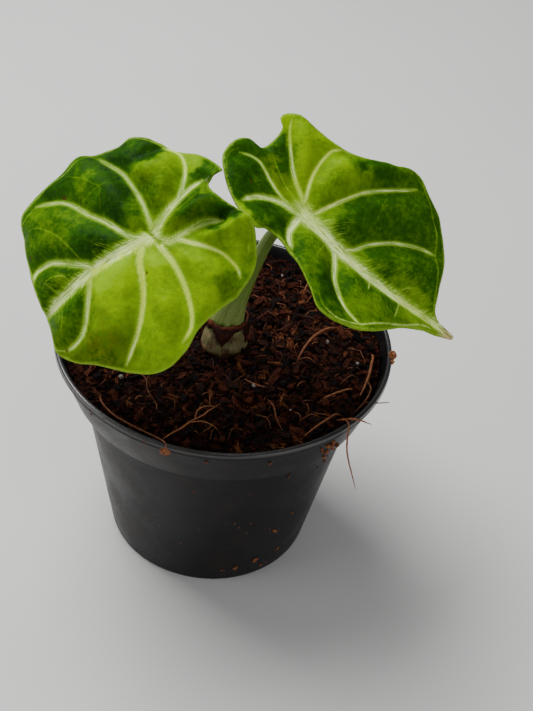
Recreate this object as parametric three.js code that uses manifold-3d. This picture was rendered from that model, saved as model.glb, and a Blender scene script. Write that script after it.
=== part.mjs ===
// A small aroid with two variegated leaves, in a black nursery pot filled with coir mix.
// Millimetres, +Z up. The origin is the middle of the pot's underside, and -Y is the front.
import * as THREE from 'three'
import { mergeVertices } from 'three/addons/utils/BufferGeometryUtils.js'
import Module from 'manifold-3d'

const wasm = await Module()
wasm.setup()

// Pot
const POT_HEIGHT = 63.5
const POT_MOUTH_RADIUS = 42.5
const POT_BASE_RADIUS = 27.2
const POT_WALL = 1.1
const POT_FLOOR = 2.4
const COLLAR_DEPTH = 13
const COLLAR_FOOT_RADIUS = 38.4
const COLLAR_STEP = 1
const SHOULDER_RADIUS = 35.6
const RIM_THICKNESS = 1
const FOOT_GROOVE_DEPTH = 1.2
const FOOT_PAD_RADIUS = 9
const FOOT_RING_WIDTH = 4
const DRAIN_HOLES = 8
const DRAIN_HOLE_RADIUS = 2.4
const DRAIN_HOLE_SIDES = 12
const DRAIN_CIRCLE_RADIUS = 17
const POT_SIDES = 72

// Room left between pieces that touch
const GAP = 0.3

// Soil
const SOIL_LEVEL = 60.6
const SOIL_RELIEF = 0.9
const SOIL_RINGS = 12
const SOIL_SPOKES = 48
const PIT = { x: 9.5, y: 4, radius: 6, depth: 3 }
const CHIP_COUNT = 76
const CHIP_LENGTH = [2.4, 5.0]
const CHIP_WIDTH = [1.4, 2.6]
const CHIP_THICKNESS = 1.3
const CHIP_NARROW_END = 0.7
const CHIP_TILT = 0.35
const CHIP_FIELD_RADIUS = 37
const CHIP_CLEAR_OF_STEM = 9.5

// Stem base, with the plain hole it stands in
const STEM = { x: -0.2, y: 1.0, footZ: 50, topZ: 67.2, buriedRadius: 4.9, widestRadius: 5.7 }
const STEM_PROFILE = [
  [4.9, 50], [4.9, 57.5], [5.4, 59.3], [5.7, 61.2], [5.3, 63.3], [4.5, 65.6], [3.9, 67.2],
]
const STEM_LUMP = 0.35
const STEM_SIDES = 28
const STEM_HOLE_LENGTH = 12

// Leaf blades
const BLADE_THICKNESS = 0.9
const BLADE_RINGS = [0.1, 0.24, 0.4, 0.56, 0.71, 0.84, 0.93, 1]

// Left leaf: where its stalk joins it, which way its face and its tip point, and its edge.
// An edge point is how far it lies towards the tip, how far across, and how high it stands.
// Edge points run anticlockwise, seen from the face.
const LEFT_LEAF = {
  joint: [-16.5, -21.6, 106.6],
  face: [-0.25, -0.60, 0.76],
  towardsTip: [-0.81, -0.31, -0.51],
  riseShape: 1.9,
  pillow: 1.0,
  veinBearings: [-160, -128, -92, -55, -20, 0, 22, 52, 88, 128, 165],
  edge: [
    [31.5, -0.5, -9.5], [31.5, 4.5, -7.5], [32.5, 9, -8.5], [30, 13, -8], [25, 17, -7],
    [19.5, 22, -6.5], [15, 25, -7], [10.5, 26, -6.5], [5.5, 25, -5], [0.5, 22.5, -3.5],
    [-5, 21, -4], [-11, 19.5, -4.5], [-16.5, 16, -4.5], [-19.5, 11, -3.5], [-21, 7.5, -1.5],
    [-20, 4.5, -0.5], [-17.5, 0, -1], [-16, -5, -1.5], [-17.5, -6, -2], [-20, -7, -3],
    [-19, -10.5, -3.5], [-17, -13.5, -3.5], [-13.5, -16, -3], [-10.5, -20, -2.5], [-8, -24, -4],
    [-4.5, -26.5, -5], [-1.5, -25.5, -4], [3.5, -25.5, -2.5], [8, -28.5, -4.5], [14, -27, -5],
    [21.5, -26, -6.5], [26.5, -24, -7.5], [28.5, -18, -7.5], [30, -10, -6.5], [31, -2.5, -7],
  ],
}

const RIGHT_LEAF = {
  joint: [15, -5.4, 106.9],
  face: [0.29, -0.43, 0.86],
  towardsTip: [0.89, -0.20, -0.40],
  riseShape: 1.25,
  pillow: 0.9,
  veinBearings: [-148, -95, -62, -30, 0, 24, 52, 88, 130, 168],
  edge: [
    [47, 0, -9], [44, 0, -8], [40, 1.5, -6.5], [38, 7, -5.5], [36, 13.5, -4.5], [32, 18.5, -3],
    [29, 21.5, -1.5], [24, 23.5, 0.5], [18, 25.5, 2.5], [11.5, 22.5, 3.5], [5, 20, 3],
    [-1.5, 19, 2.5], [-7, 19.5, 3], [-12, 19.5, 3.5], [-15, 18, 3], [-15.5, 15.5, 3],
    [-14, 14.5, 2], [-14.5, 10.5, 1], [-16, 9, 0], [-19, 8.5, 0.5], [-21.5, 5, 1.5],
    [-22, -0.5, 2.5], [-20, -4.5, 3], [-16, -9, 4], [-11, -12.5, 5], [-7, -13.5, 5],
    [-5, -12, 4.5], [-0.5, -12.5, 4.5], [4.5, -15.5, 5.5], [9, -19.5, 6.5], [13.5, -23, 7],
    [20, -22, 6], [26.5, -18, 3.5], [33, -11, 0], [38.5, -6, -4], [43, -3, -7],
  ],
}

// Stalks: centre, then the half width and half depth of the section there.
// The last point of each stops just short of the underside of its blade.
const STALK_SIDES = 14
const LEFT_STALK = [
  [-1.5, 3.8, 67.5, 1.6, 1.6], [-2.7, 3.7, 75, 1.6, 1.6], [-4.4, 2.2, 82, 1.55, 1.55],
  [-7.2, -2.6, 90, 1.5, 1.5], [-11.2, -10.8, 98.6, 1.4, 1.4], [-15.9, -20.2, 104.9, 1.35, 1.35],
]
const RIGHT_STALK = [
  [0.2, -0.35, 67.5, 3.9, 2.2], [1.2, 0, 72.5, 3.4, 2.1], [3.2, 0.9, 78, 2.4, 2.0],
  [5.2, 1.4, 84, 1.8, 1.8], [8, 1, 93.2, 1.5, 1.5], [11.2, -1.6, 100.4, 1.4, 1.4],
  [14.5, -4.65, 105.3, 1.35, 1.35],
]

// Dry scale: a ring that flares downwards, with a point that hangs at the front
const SCALE = { x: 0.1, y: 1.45, innerRadius: 4.85, thickness: 0.7, topZ: 69.2, bottomZ: 67.4 }
const SCALE_POINT = { bearing: -96, halfWidth: 52, drop: 3.6, flare: 1.0 }

// Coarse coir strands that lie on the soil, both ends sunk in it
const STRAND_RADIUS = 0.5
const STRAND_SIDES = 5
const STRAND_STEPS = 8
const STRANDS = [
  [[29.0, 11.6, 60.2], [25.4, 7.6, 62.8], [22.4, 3.7, 63.4], [20.4, -0.2, 62.8], [18.5, -5.5, 60.2]],
  [[37.4, 3.0, 60.2], [37.4, -3.6, 62.0], [36.6, -8.9, 62.0], [35.0, -14.5, 60.2]],
  [[33.4, -11.2, 60.2], [31.1, -13.8, 62.2], [28.3, -15.8, 62.2], [25.0, -17.8, 60.2]],
  [[31.0, -21.6, 60.2], [27.0, -25.5, 62.2], [23.9, -28.7, 62.2], [20.5, -32.4, 60.2]],
  [[-27.0, -24.0, 60.2], [-25.4, -29.4, 62.2], [-22.4, -32.0, 62.2], [-16.0, -35.2, 60.2]],
  [[-10.6, -37.0, 60.2], [-7.0, -34.3, 62.2], [-3.2, -30.2, 62.2], [1.2, -24.6, 60.2]],
]

function finish(name, geometry, color, roughness) {
  const mesh = new THREE.Mesh(geometry, new THREE.MeshStandardMaterial({ color, roughness, metalness: 0 }))
  mesh.name = name
  return mesh
}

// A repeatable stream of numbers from 0 to 1
function seeded(seed) {
  let state = seed
  return () => {
    state = (state * 1664525 + 1013904223) % 4294967296
    return state / 4294967296
  }
}

function toSolid(geometry) {
  const bare = geometry.clone()
  bare.deleteAttribute('normal')
  bare.deleteAttribute('uv')
  const merged = mergeVertices(bare, 1e-4)
  return new wasm.Manifold(new wasm.Mesh({
    numProp: 3,
    vertProperties: new Float32Array(merged.attributes.position.array),
    triVerts: new Uint32Array(merged.index.array),
  }))
}

function toGeometry(solid) {
  const mesh = solid.getMesh()
  const geometry = new THREE.BufferGeometry()
  geometry.setAttribute('position', new THREE.BufferAttribute(new Float32Array(mesh.vertProperties), 3))
  geometry.setIndex(new THREE.BufferAttribute(new Uint32Array(mesh.triVerts), 1))
  return geometry
}

// Loose scraps are dropped
function largestBody(solid) {
  return solid.decompose().reduce((best, body) => (body.volume() > best.volume() ? body : best))
}

function fromPoints(points, triangles) {
  const geometry = new THREE.BufferGeometry()
  geometry.setAttribute('position', new THREE.Float32BufferAttribute(points.flatMap((p) => p.toArray()), 3))
  geometry.setIndex(triangles.flat())
  geometry.computeVertexNormals()
  return geometry
}

// A solid through rings of equal point counts, closed by a fan at each end.
// Rings run anticlockwise as seen from the far end.
function loft(rings) {
  const sides = rings[0].length
  const points = rings.flat()
  const triangles = []
  for (let ring = 0; ring < rings.length - 1; ring++) {
    for (let side = 0; side < sides; side++) {
      const a = ring * sides + side
      const b = ring * sides + (side + 1) % sides
      triangles.push([a, b, b + sides], [a, b + sides, a + sides])
    }
  }
  const ends = [[0, rings[0]], [(rings.length - 1) * sides, rings[rings.length - 1]]]
  ends.forEach(([first, ring], end) => {
    const centre = ring.reduce((sum, p) => sum.add(p), new THREE.Vector3()).divideScalar(sides)
    const hub = points.push(centre) - 1
    for (let side = 0; side < sides; side++) {
      const a = first + side
      const b = first + (side + 1) % sides
      triangles.push(end === 0 ? [hub, b, a] : [hub, a, b])
    }
  })
  return fromPoints(points, triangles)
}

// A stalk or strand: rings square to a smooth path, with the section given at each path point.
// A stalk's foot is level, a strand's isn't.
function stalk(path, sides, steps, levelFoot) {
  const curve = new THREE.CatmullRomCurve3(path.map(([x, y, z]) => new THREE.Vector3(x, y, z)))
  const sections = new THREE.CatmullRomCurve3(path.map((p) => new THREE.Vector3(p[3], p[4], 0)))
  const rings = []
  for (let step = 0; step <= steps; step++) {
    const t = step / steps
    const centre = curve.getPoint(t)
    const section = sections.getPoint(t)
    const ahead = levelFoot && step === 0 ? new THREE.Vector3(0, 0, 1) : curve.getTangent(t)
    const deep = new THREE.Vector3(0, 1, 0).addScaledVector(ahead, -ahead.y).normalize()
    const wide = new THREE.Vector3().crossVectors(deep, ahead)
    const ring = []
    for (let side = 0; side < sides; side++) {
      const angle = (side / sides) * 2 * Math.PI
      ring.push(centre.clone()
        .addScaledVector(wide, section.x * Math.cos(angle))
        .addScaledVector(deep, section.y * Math.sin(angle)))
    }
    rings.push(ring)
  }
  return loft(rings)
}

// Radius of the pot's inner wall at a height
function innerRadius(z) {
  const collarFoot = POT_HEIGHT - COLLAR_DEPTH
  const stops = [
    [POT_FLOOR, POT_BASE_RADIUS - POT_WALL],
    [collarFoot - COLLAR_STEP, SHOULDER_RADIUS - POT_WALL],
    [collarFoot + COLLAR_STEP, COLLAR_FOOT_RADIUS - POT_WALL],
    [POT_HEIGHT, POT_MOUTH_RADIUS - RIM_THICKNESS],
  ]
  const upper = Math.max(1, stops.findIndex(([height]) => height >= z))
  const [z0, r0] = stops[upper - 1]
  const [z1, r1] = stops[upper]
  return THREE.MathUtils.mapLinear(z, z0, z1, r0, r1)
}

function makePot() {
  const collarFoot = POT_HEIGHT - COLLAR_DEPTH
  const profile = [
    [0, 0], [FOOT_PAD_RADIUS - 1, 0], [FOOT_PAD_RADIUS, FOOT_GROOVE_DEPTH],
    [POT_BASE_RADIUS - FOOT_RING_WIDTH - 1, FOOT_GROOVE_DEPTH], [POT_BASE_RADIUS - FOOT_RING_WIDTH, 0],
    [POT_BASE_RADIUS - 0.6, 0], [POT_BASE_RADIUS, 0.8],
    [SHOULDER_RADIUS, collarFoot - 0.6], [COLLAR_FOOT_RADIUS - 0.4, collarFoot],
    [COLLAR_FOOT_RADIUS, collarFoot + 0.6], [POT_MOUTH_RADIUS - 0.5, POT_HEIGHT - 2.2],
    [POT_MOUTH_RADIUS, POT_HEIGHT - 1.4], [POT_MOUTH_RADIUS, POT_HEIGHT - 0.3],
    [POT_MOUTH_RADIUS - 0.3, POT_HEIGHT], [POT_MOUTH_RADIUS - RIM_THICKNESS, POT_HEIGHT],
    [innerRadius(collarFoot + COLLAR_STEP), collarFoot + COLLAR_STEP],
    [innerRadius(collarFoot - COLLAR_STEP), collarFoot - COLLAR_STEP],
    [innerRadius(POT_FLOOR), POT_FLOOR], [0, POT_FLOOR],
  ]
  let pot = toSolid(new THREE.LatheGeometry(profile.map(([r, z]) => new THREE.Vector2(r, z)), POT_SIDES)
    .rotateX(Math.PI / 2))
  const drain = new THREE.CylinderGeometry(
    DRAIN_HOLE_RADIUS, DRAIN_HOLE_RADIUS, 4 * POT_FLOOR, DRAIN_HOLE_SIDES)
    .rotateX(Math.PI / 2)
  for (let hole = 0; hole < DRAIN_HOLES; hole++) {
    const angle = ((hole + 0.5) / DRAIN_HOLES) * 2 * Math.PI
    const x = DRAIN_CIRCLE_RADIUS * Math.cos(angle)
    const y = DRAIN_CIRCLE_RADIUS * Math.sin(angle)
    pot = pot.subtract(toSolid(drain.clone().translate(x, y, 0)))
  }
  return toGeometry(pot)
}

// Height of the soil's surface: gentle lumps, and a pit beside the stem
function soilHeight(x, y) {
  const lumps = Math.sin(0.55 * x + 1.1) * Math.cos(0.47 * y - 0.4)
    + 0.6 * Math.sin(1.05 * y - 0.7 * x + 2.0) + 0.4 * Math.sin(1.7 * x + 0.9 * y)
  const pit = PIT.depth * Math.exp(-((x - PIT.x) ** 2 + (y - PIT.y) ** 2) / (PIT.radius ** 2 / 2))
  return SOIL_LEVEL + 0.5 * SOIL_RELIEF * lumps - pit
}

function makeSoilBody() {
  const rings = []
  const collarFoot = POT_HEIGHT - COLLAR_DEPTH
  const rounding = 0.4
  const below = collarFoot - COLLAR_STEP
  const above = collarFoot + COLLAR_STEP
  const walls = [
    [innerRadius(POT_FLOOR) - GAP - rounding, POT_FLOOR + GAP],
    [innerRadius(below) - GAP, below - 0.2],
    [innerRadius(above) - GAP, above + 0.2],
    [innerRadius(SOIL_LEVEL) - GAP - rounding, SOIL_LEVEL - 1],
  ]
  const around = (radius, height) => Array.from({ length: SOIL_SPOKES }, (_, spoke) => {
    const angle = (spoke / SOIL_SPOKES) * 2 * Math.PI
    const x = radius * Math.cos(angle)
    const y = radius * Math.sin(angle)
    return new THREE.Vector3(x, y, height ?? soilHeight(x, y))
  })
  walls.forEach(([radius, height]) => rings.push(around(radius, height)))
  const topRadius = innerRadius(SOIL_LEVEL) - GAP - 1.5 * rounding
  for (let ring = SOIL_RINGS; ring >= 1; ring--) {
    rings.push(around(topRadius * ring / SOIL_RINGS, null))
  }
  return toSolid(loft(rings))
}

// Coir chips lie at random on the surface, each a small block with one end narrower
function makeChips() {
  const random = seeded(11)
  const between = ([low, high]) => low + (high - low) * random()
  const chips = []
  while (chips.length < CHIP_COUNT) {
    const angle = random() * 2 * Math.PI
    const reach = CHIP_FIELD_RADIUS * Math.sqrt(random())
    const x = reach * Math.cos(angle)
    const y = reach * Math.sin(angle)
    const length = between(CHIP_LENGTH)
    const width = between(CHIP_WIDTH)
    const turn = [CHIP_TILT * (random() - 0.5), CHIP_TILT * (random() - 0.5), Math.PI * random()]
    if (Math.hypot(x - STEM.x, y - STEM.y) < CHIP_CLEAR_OF_STEM) continue
    const chip = new THREE.CylinderGeometry(0.5 * CHIP_NARROW_END * width, 0.5 * width, length, 4, 1)
      .rotateZ(Math.PI / 2)
      .scale(1, 1, CHIP_THICKNESS / width)
      .rotateX(turn[0])
      .rotateY(turn[1])
      .rotateZ(turn[2])
      .translate(x, y, soilHeight(x, y) + 0.25 * CHIP_THICKNESS)
    chips.push(toSolid(chip))
  }
  return chips
}

function makeSoil() {
  let soil = makeSoilBody()
  makeChips().forEach((chip) => { soil = soil.add(chip) })
  STRANDS.forEach((strand) => {
    const path = strand.map(([x, y, z]) => [x, y, z, STRAND_RADIUS, STRAND_RADIUS])
    soil = soil.add(toSolid(stalk(path, STRAND_SIDES, STRAND_STEPS, false)))
  })
  const hole = new THREE.CylinderGeometry(
    STEM.widestRadius + GAP, STEM.buriedRadius + GAP, STEM_HOLE_LENGTH, STEM_SIDES)
    .rotateX(Math.PI / 2)
    .translate(STEM.x, STEM.y, STEM.footZ - GAP + STEM_HOLE_LENGTH / 2)
  return toGeometry(largestBody(soil.subtract(toSolid(hole))))
}

// The stem bulges in three low lumps just above the soil
function makeStemBase() {
  const { smoothstep } = THREE.MathUtils
  const rings = STEM_PROFILE.map(([radius, z]) => Array.from({ length: STEM_SIDES }, (_, side) => {
    const angle = (side / STEM_SIDES) * 2 * Math.PI
    const aboveSoil = smoothstep(z, SOIL_LEVEL - 2, SOIL_LEVEL + 1)
    const belowTop = 1 - smoothstep(z, STEM.topZ - 3, STEM.topZ)
    const reach = radius + STEM_LUMP * (Math.cos(3 * angle + 1.2) - 1) * aboveSoil * belowTop
    return new THREE.Vector3(STEM.x + reach * Math.cos(angle), STEM.y + reach * Math.sin(angle), z)
  }))
  return loft(rings)
}

function makeScale() {
  const sides = 36
  const corners = []
  for (let side = 0; side < sides; side++) {
    const bearing = (side / sides) * 360
    const angle = THREE.MathUtils.degToRad(bearing)
    const off = Math.abs(((bearing - SCALE_POINT.bearing + 540) % 360) - 180)
    const point = Math.max(0, 1 - off / SCALE_POINT.halfWidth)
    const ragged = 0.35 * Math.sin(5 * angle + 0.6) + 0.25 * Math.sin(9 * angle)
    const bottomZ = SCALE.bottomZ - SCALE_POINT.drop * point
    const topZ = SCALE.topZ + ragged
    const place = (radius, z) => new THREE.Vector3(
      SCALE.x + radius * Math.cos(angle), SCALE.y + radius * Math.sin(angle), z)
    const low = SCALE.innerRadius + 0.2 + SCALE_POINT.flare * point
    corners.push([
      place(low, bottomZ), place(low + SCALE.thickness, bottomZ),
      place(SCALE.innerRadius + SCALE.thickness, topZ), place(SCALE.innerRadius, topZ),
    ])
  }
  const triangles = []
  for (let side = 0; side < sides; side++) {
    const next = (side + 1) % sides
    for (let corner = 0; corner < 4; corner++) {
      const after = (corner + 1) % 4
      const [a, b] = [side * 4 + corner, side * 4 + after]
      const [c, d] = [next * 4 + corner, next * 4 + after]
      triangles.push([a, c, d], [a, d, b])
    }
  }
  return fromPoints(corners.flat(), triangles)
}

// How far a bearing lies between its two neighbouring veins: 0 on a vein, 1 midway
function betweenVeins(bearing, veinBearings) {
  const count = veinBearings.length
  for (let vein = 0; vein < count; vein++) {
    const start = veinBearings[vein]
    const width = (veinBearings[(vein + 1) % count] - start + 360) % 360
    const into = (bearing - start + 720) % 360
    if (into < width) return Math.sin(Math.PI * into / width) ** 2
  }
  return 0
}

// A blade is a sheet over a plane through its joint: its edge is a smooth closed line through
// the edge points, and inside it the sheet rises to that edge and pillows up between the veins.
function makeBlade(leaf) {
  const face = new THREE.Vector3(...leaf.face).normalize()
  const along = new THREE.Vector3(...leaf.towardsTip)
  along.addScaledVector(face, -along.dot(face)).normalize()
  const across = new THREE.Vector3().crossVectors(face, along)
  const joint = new THREE.Vector3(...leaf.joint)
  const place = (x, y, z) => joint.clone()
    .addScaledVector(along, x).addScaledVector(across, y).addScaledVector(face, z)
  const edge = new THREE.CatmullRomCurve3(leaf.edge.map((p) => new THREE.Vector3(...p)), true)
  const spokes = 2 * leaf.edge.length
  const top = [place(0, 0, 0)]
  for (const reach of BLADE_RINGS) {
    for (let spoke = 0; spoke < spokes; spoke++) {
      const rim = edge.getPoint(spoke / spokes)
      const bearing = THREE.MathUtils.radToDeg(Math.atan2(rim.y, rim.x))
      const swell = Math.sin(Math.PI * Math.min(1, reach ** 1.2)) * betweenVeins(bearing, leaf.veinBearings)
      const z = rim.z * reach ** leaf.riseShape + leaf.pillow * swell
      top.push(place(reach * rim.x, reach * rim.y, z))
    }
  }
  const bottom = top.map((p) => p.clone().addScaledVector(face, -BLADE_THICKNESS))
  const triangles = []
  const count = top.length
  const bothFaces = (a, b, c) => triangles.push([a, c, b], [a + count, b + count, c + count])
  for (let spoke = 0; spoke < spokes; spoke++) {
    const next = (spoke + 1) % spokes
    bothFaces(0, 1 + next, 1 + spoke)
    for (let ring = 0; ring < BLADE_RINGS.length - 1; ring++) {
      const [a, b] = [1 + ring * spokes + spoke, 1 + ring * spokes + next]
      bothFaces(a, b, b + spokes)
      bothFaces(a, b + spokes, a + spokes)
    }
    const last = 1 + (BLADE_RINGS.length - 1) * spokes
    const [a, b] = [last + spoke, last + next]
    triangles.push([a, b + count, b], [a, a + count, b + count])
  }
  return fromPoints([...top, ...bottom], triangles)
}

const plant = new THREE.Group()
plant.add(
  finish('pot', makePot(), '#17171a', 0.55),
  finish('soil', makeSoil(), '#3a2018', 0.95),
  finish('stem_base', makeStemBase(), '#b9a884', 0.8),
  finish('papery_sheath', makeScale(), '#6b3a20', 0.85),
  finish('petiole_left', stalk(LEFT_STALK, STALK_SIDES, 16, true), '#9db56a', 0.5),
  finish('petiole_right', stalk(RIGHT_STALK, STALK_SIDES, 18, true), '#9db56a', 0.5),
  finish('leaf_left', makeBlade(LEFT_LEAF), '#7fa81e', 0.5),
  finish('leaf_right', makeBlade(RIGHT_LEAF), '#4f8f24', 0.5),
)

export default plant
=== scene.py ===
"""The looks of a small variegated aroid in its black nursery pot, laid out as an add-on and run as a script.

Lengths are metres, +Z up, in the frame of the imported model: the origin is the middle of the pot's underside
and -Y is the front. Tables of places are in millimetres, as their comments say.
"""

import math
from collections import namedtuple

import bpy
import numpy as np
from mathutils import Matrix, Vector, noise


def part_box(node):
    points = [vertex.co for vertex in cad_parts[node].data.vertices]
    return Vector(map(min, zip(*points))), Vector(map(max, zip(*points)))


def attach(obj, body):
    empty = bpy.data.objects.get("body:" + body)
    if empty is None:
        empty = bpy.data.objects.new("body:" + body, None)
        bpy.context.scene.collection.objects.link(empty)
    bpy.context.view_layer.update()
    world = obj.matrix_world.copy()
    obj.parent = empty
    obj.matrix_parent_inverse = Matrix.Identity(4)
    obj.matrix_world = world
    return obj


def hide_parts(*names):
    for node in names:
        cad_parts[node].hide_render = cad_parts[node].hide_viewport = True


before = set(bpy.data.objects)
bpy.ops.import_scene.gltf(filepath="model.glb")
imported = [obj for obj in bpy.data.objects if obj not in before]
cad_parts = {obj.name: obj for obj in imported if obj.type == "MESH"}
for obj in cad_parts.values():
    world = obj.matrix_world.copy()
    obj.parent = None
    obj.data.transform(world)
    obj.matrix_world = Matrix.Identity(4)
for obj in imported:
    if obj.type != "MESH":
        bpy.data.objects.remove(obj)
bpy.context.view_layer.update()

bl_info = {
    "name": "Potted Variegated Aroid",
    "version": (1, 0, 0),
    "blender": (4, 5, 0),
    "location": "3D View > Sidebar > Plant",
    "description": "Builds the looks of a small variegated aroid in a nursery pot",
    "category": "Add Mesh",
}

MM = 0.001
BODY = "root"

pot_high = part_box("pot")[1]

# The photograph's height and the lens in pixels, and the camera's place in mm and its angles in degrees,
# found from the pot's rim and outline
PHOTO_HEIGHT = 711
FOCAL_PIXELS = 1250
CAMERA_PLACE = (11.1, -240.3, 266.4)
CAMERA_PITCH = 40.9
CAMERA_ROLL = 7.16
SENSOR_HEIGHT = 36
SKY_COLOUR = (0.93, 0.95, 1.0, 1)

# A vein in mm: half its width at its start and its end, how white it is, and its points (along, across)
Vein = namedtuple("Vein", "half_start half_end whiteness points")
# A fold of the blade: how deep it goes (a ridge below 0), how wide it is, and its points
Crease = namedtuple("Crease", "depth width points")

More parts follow.
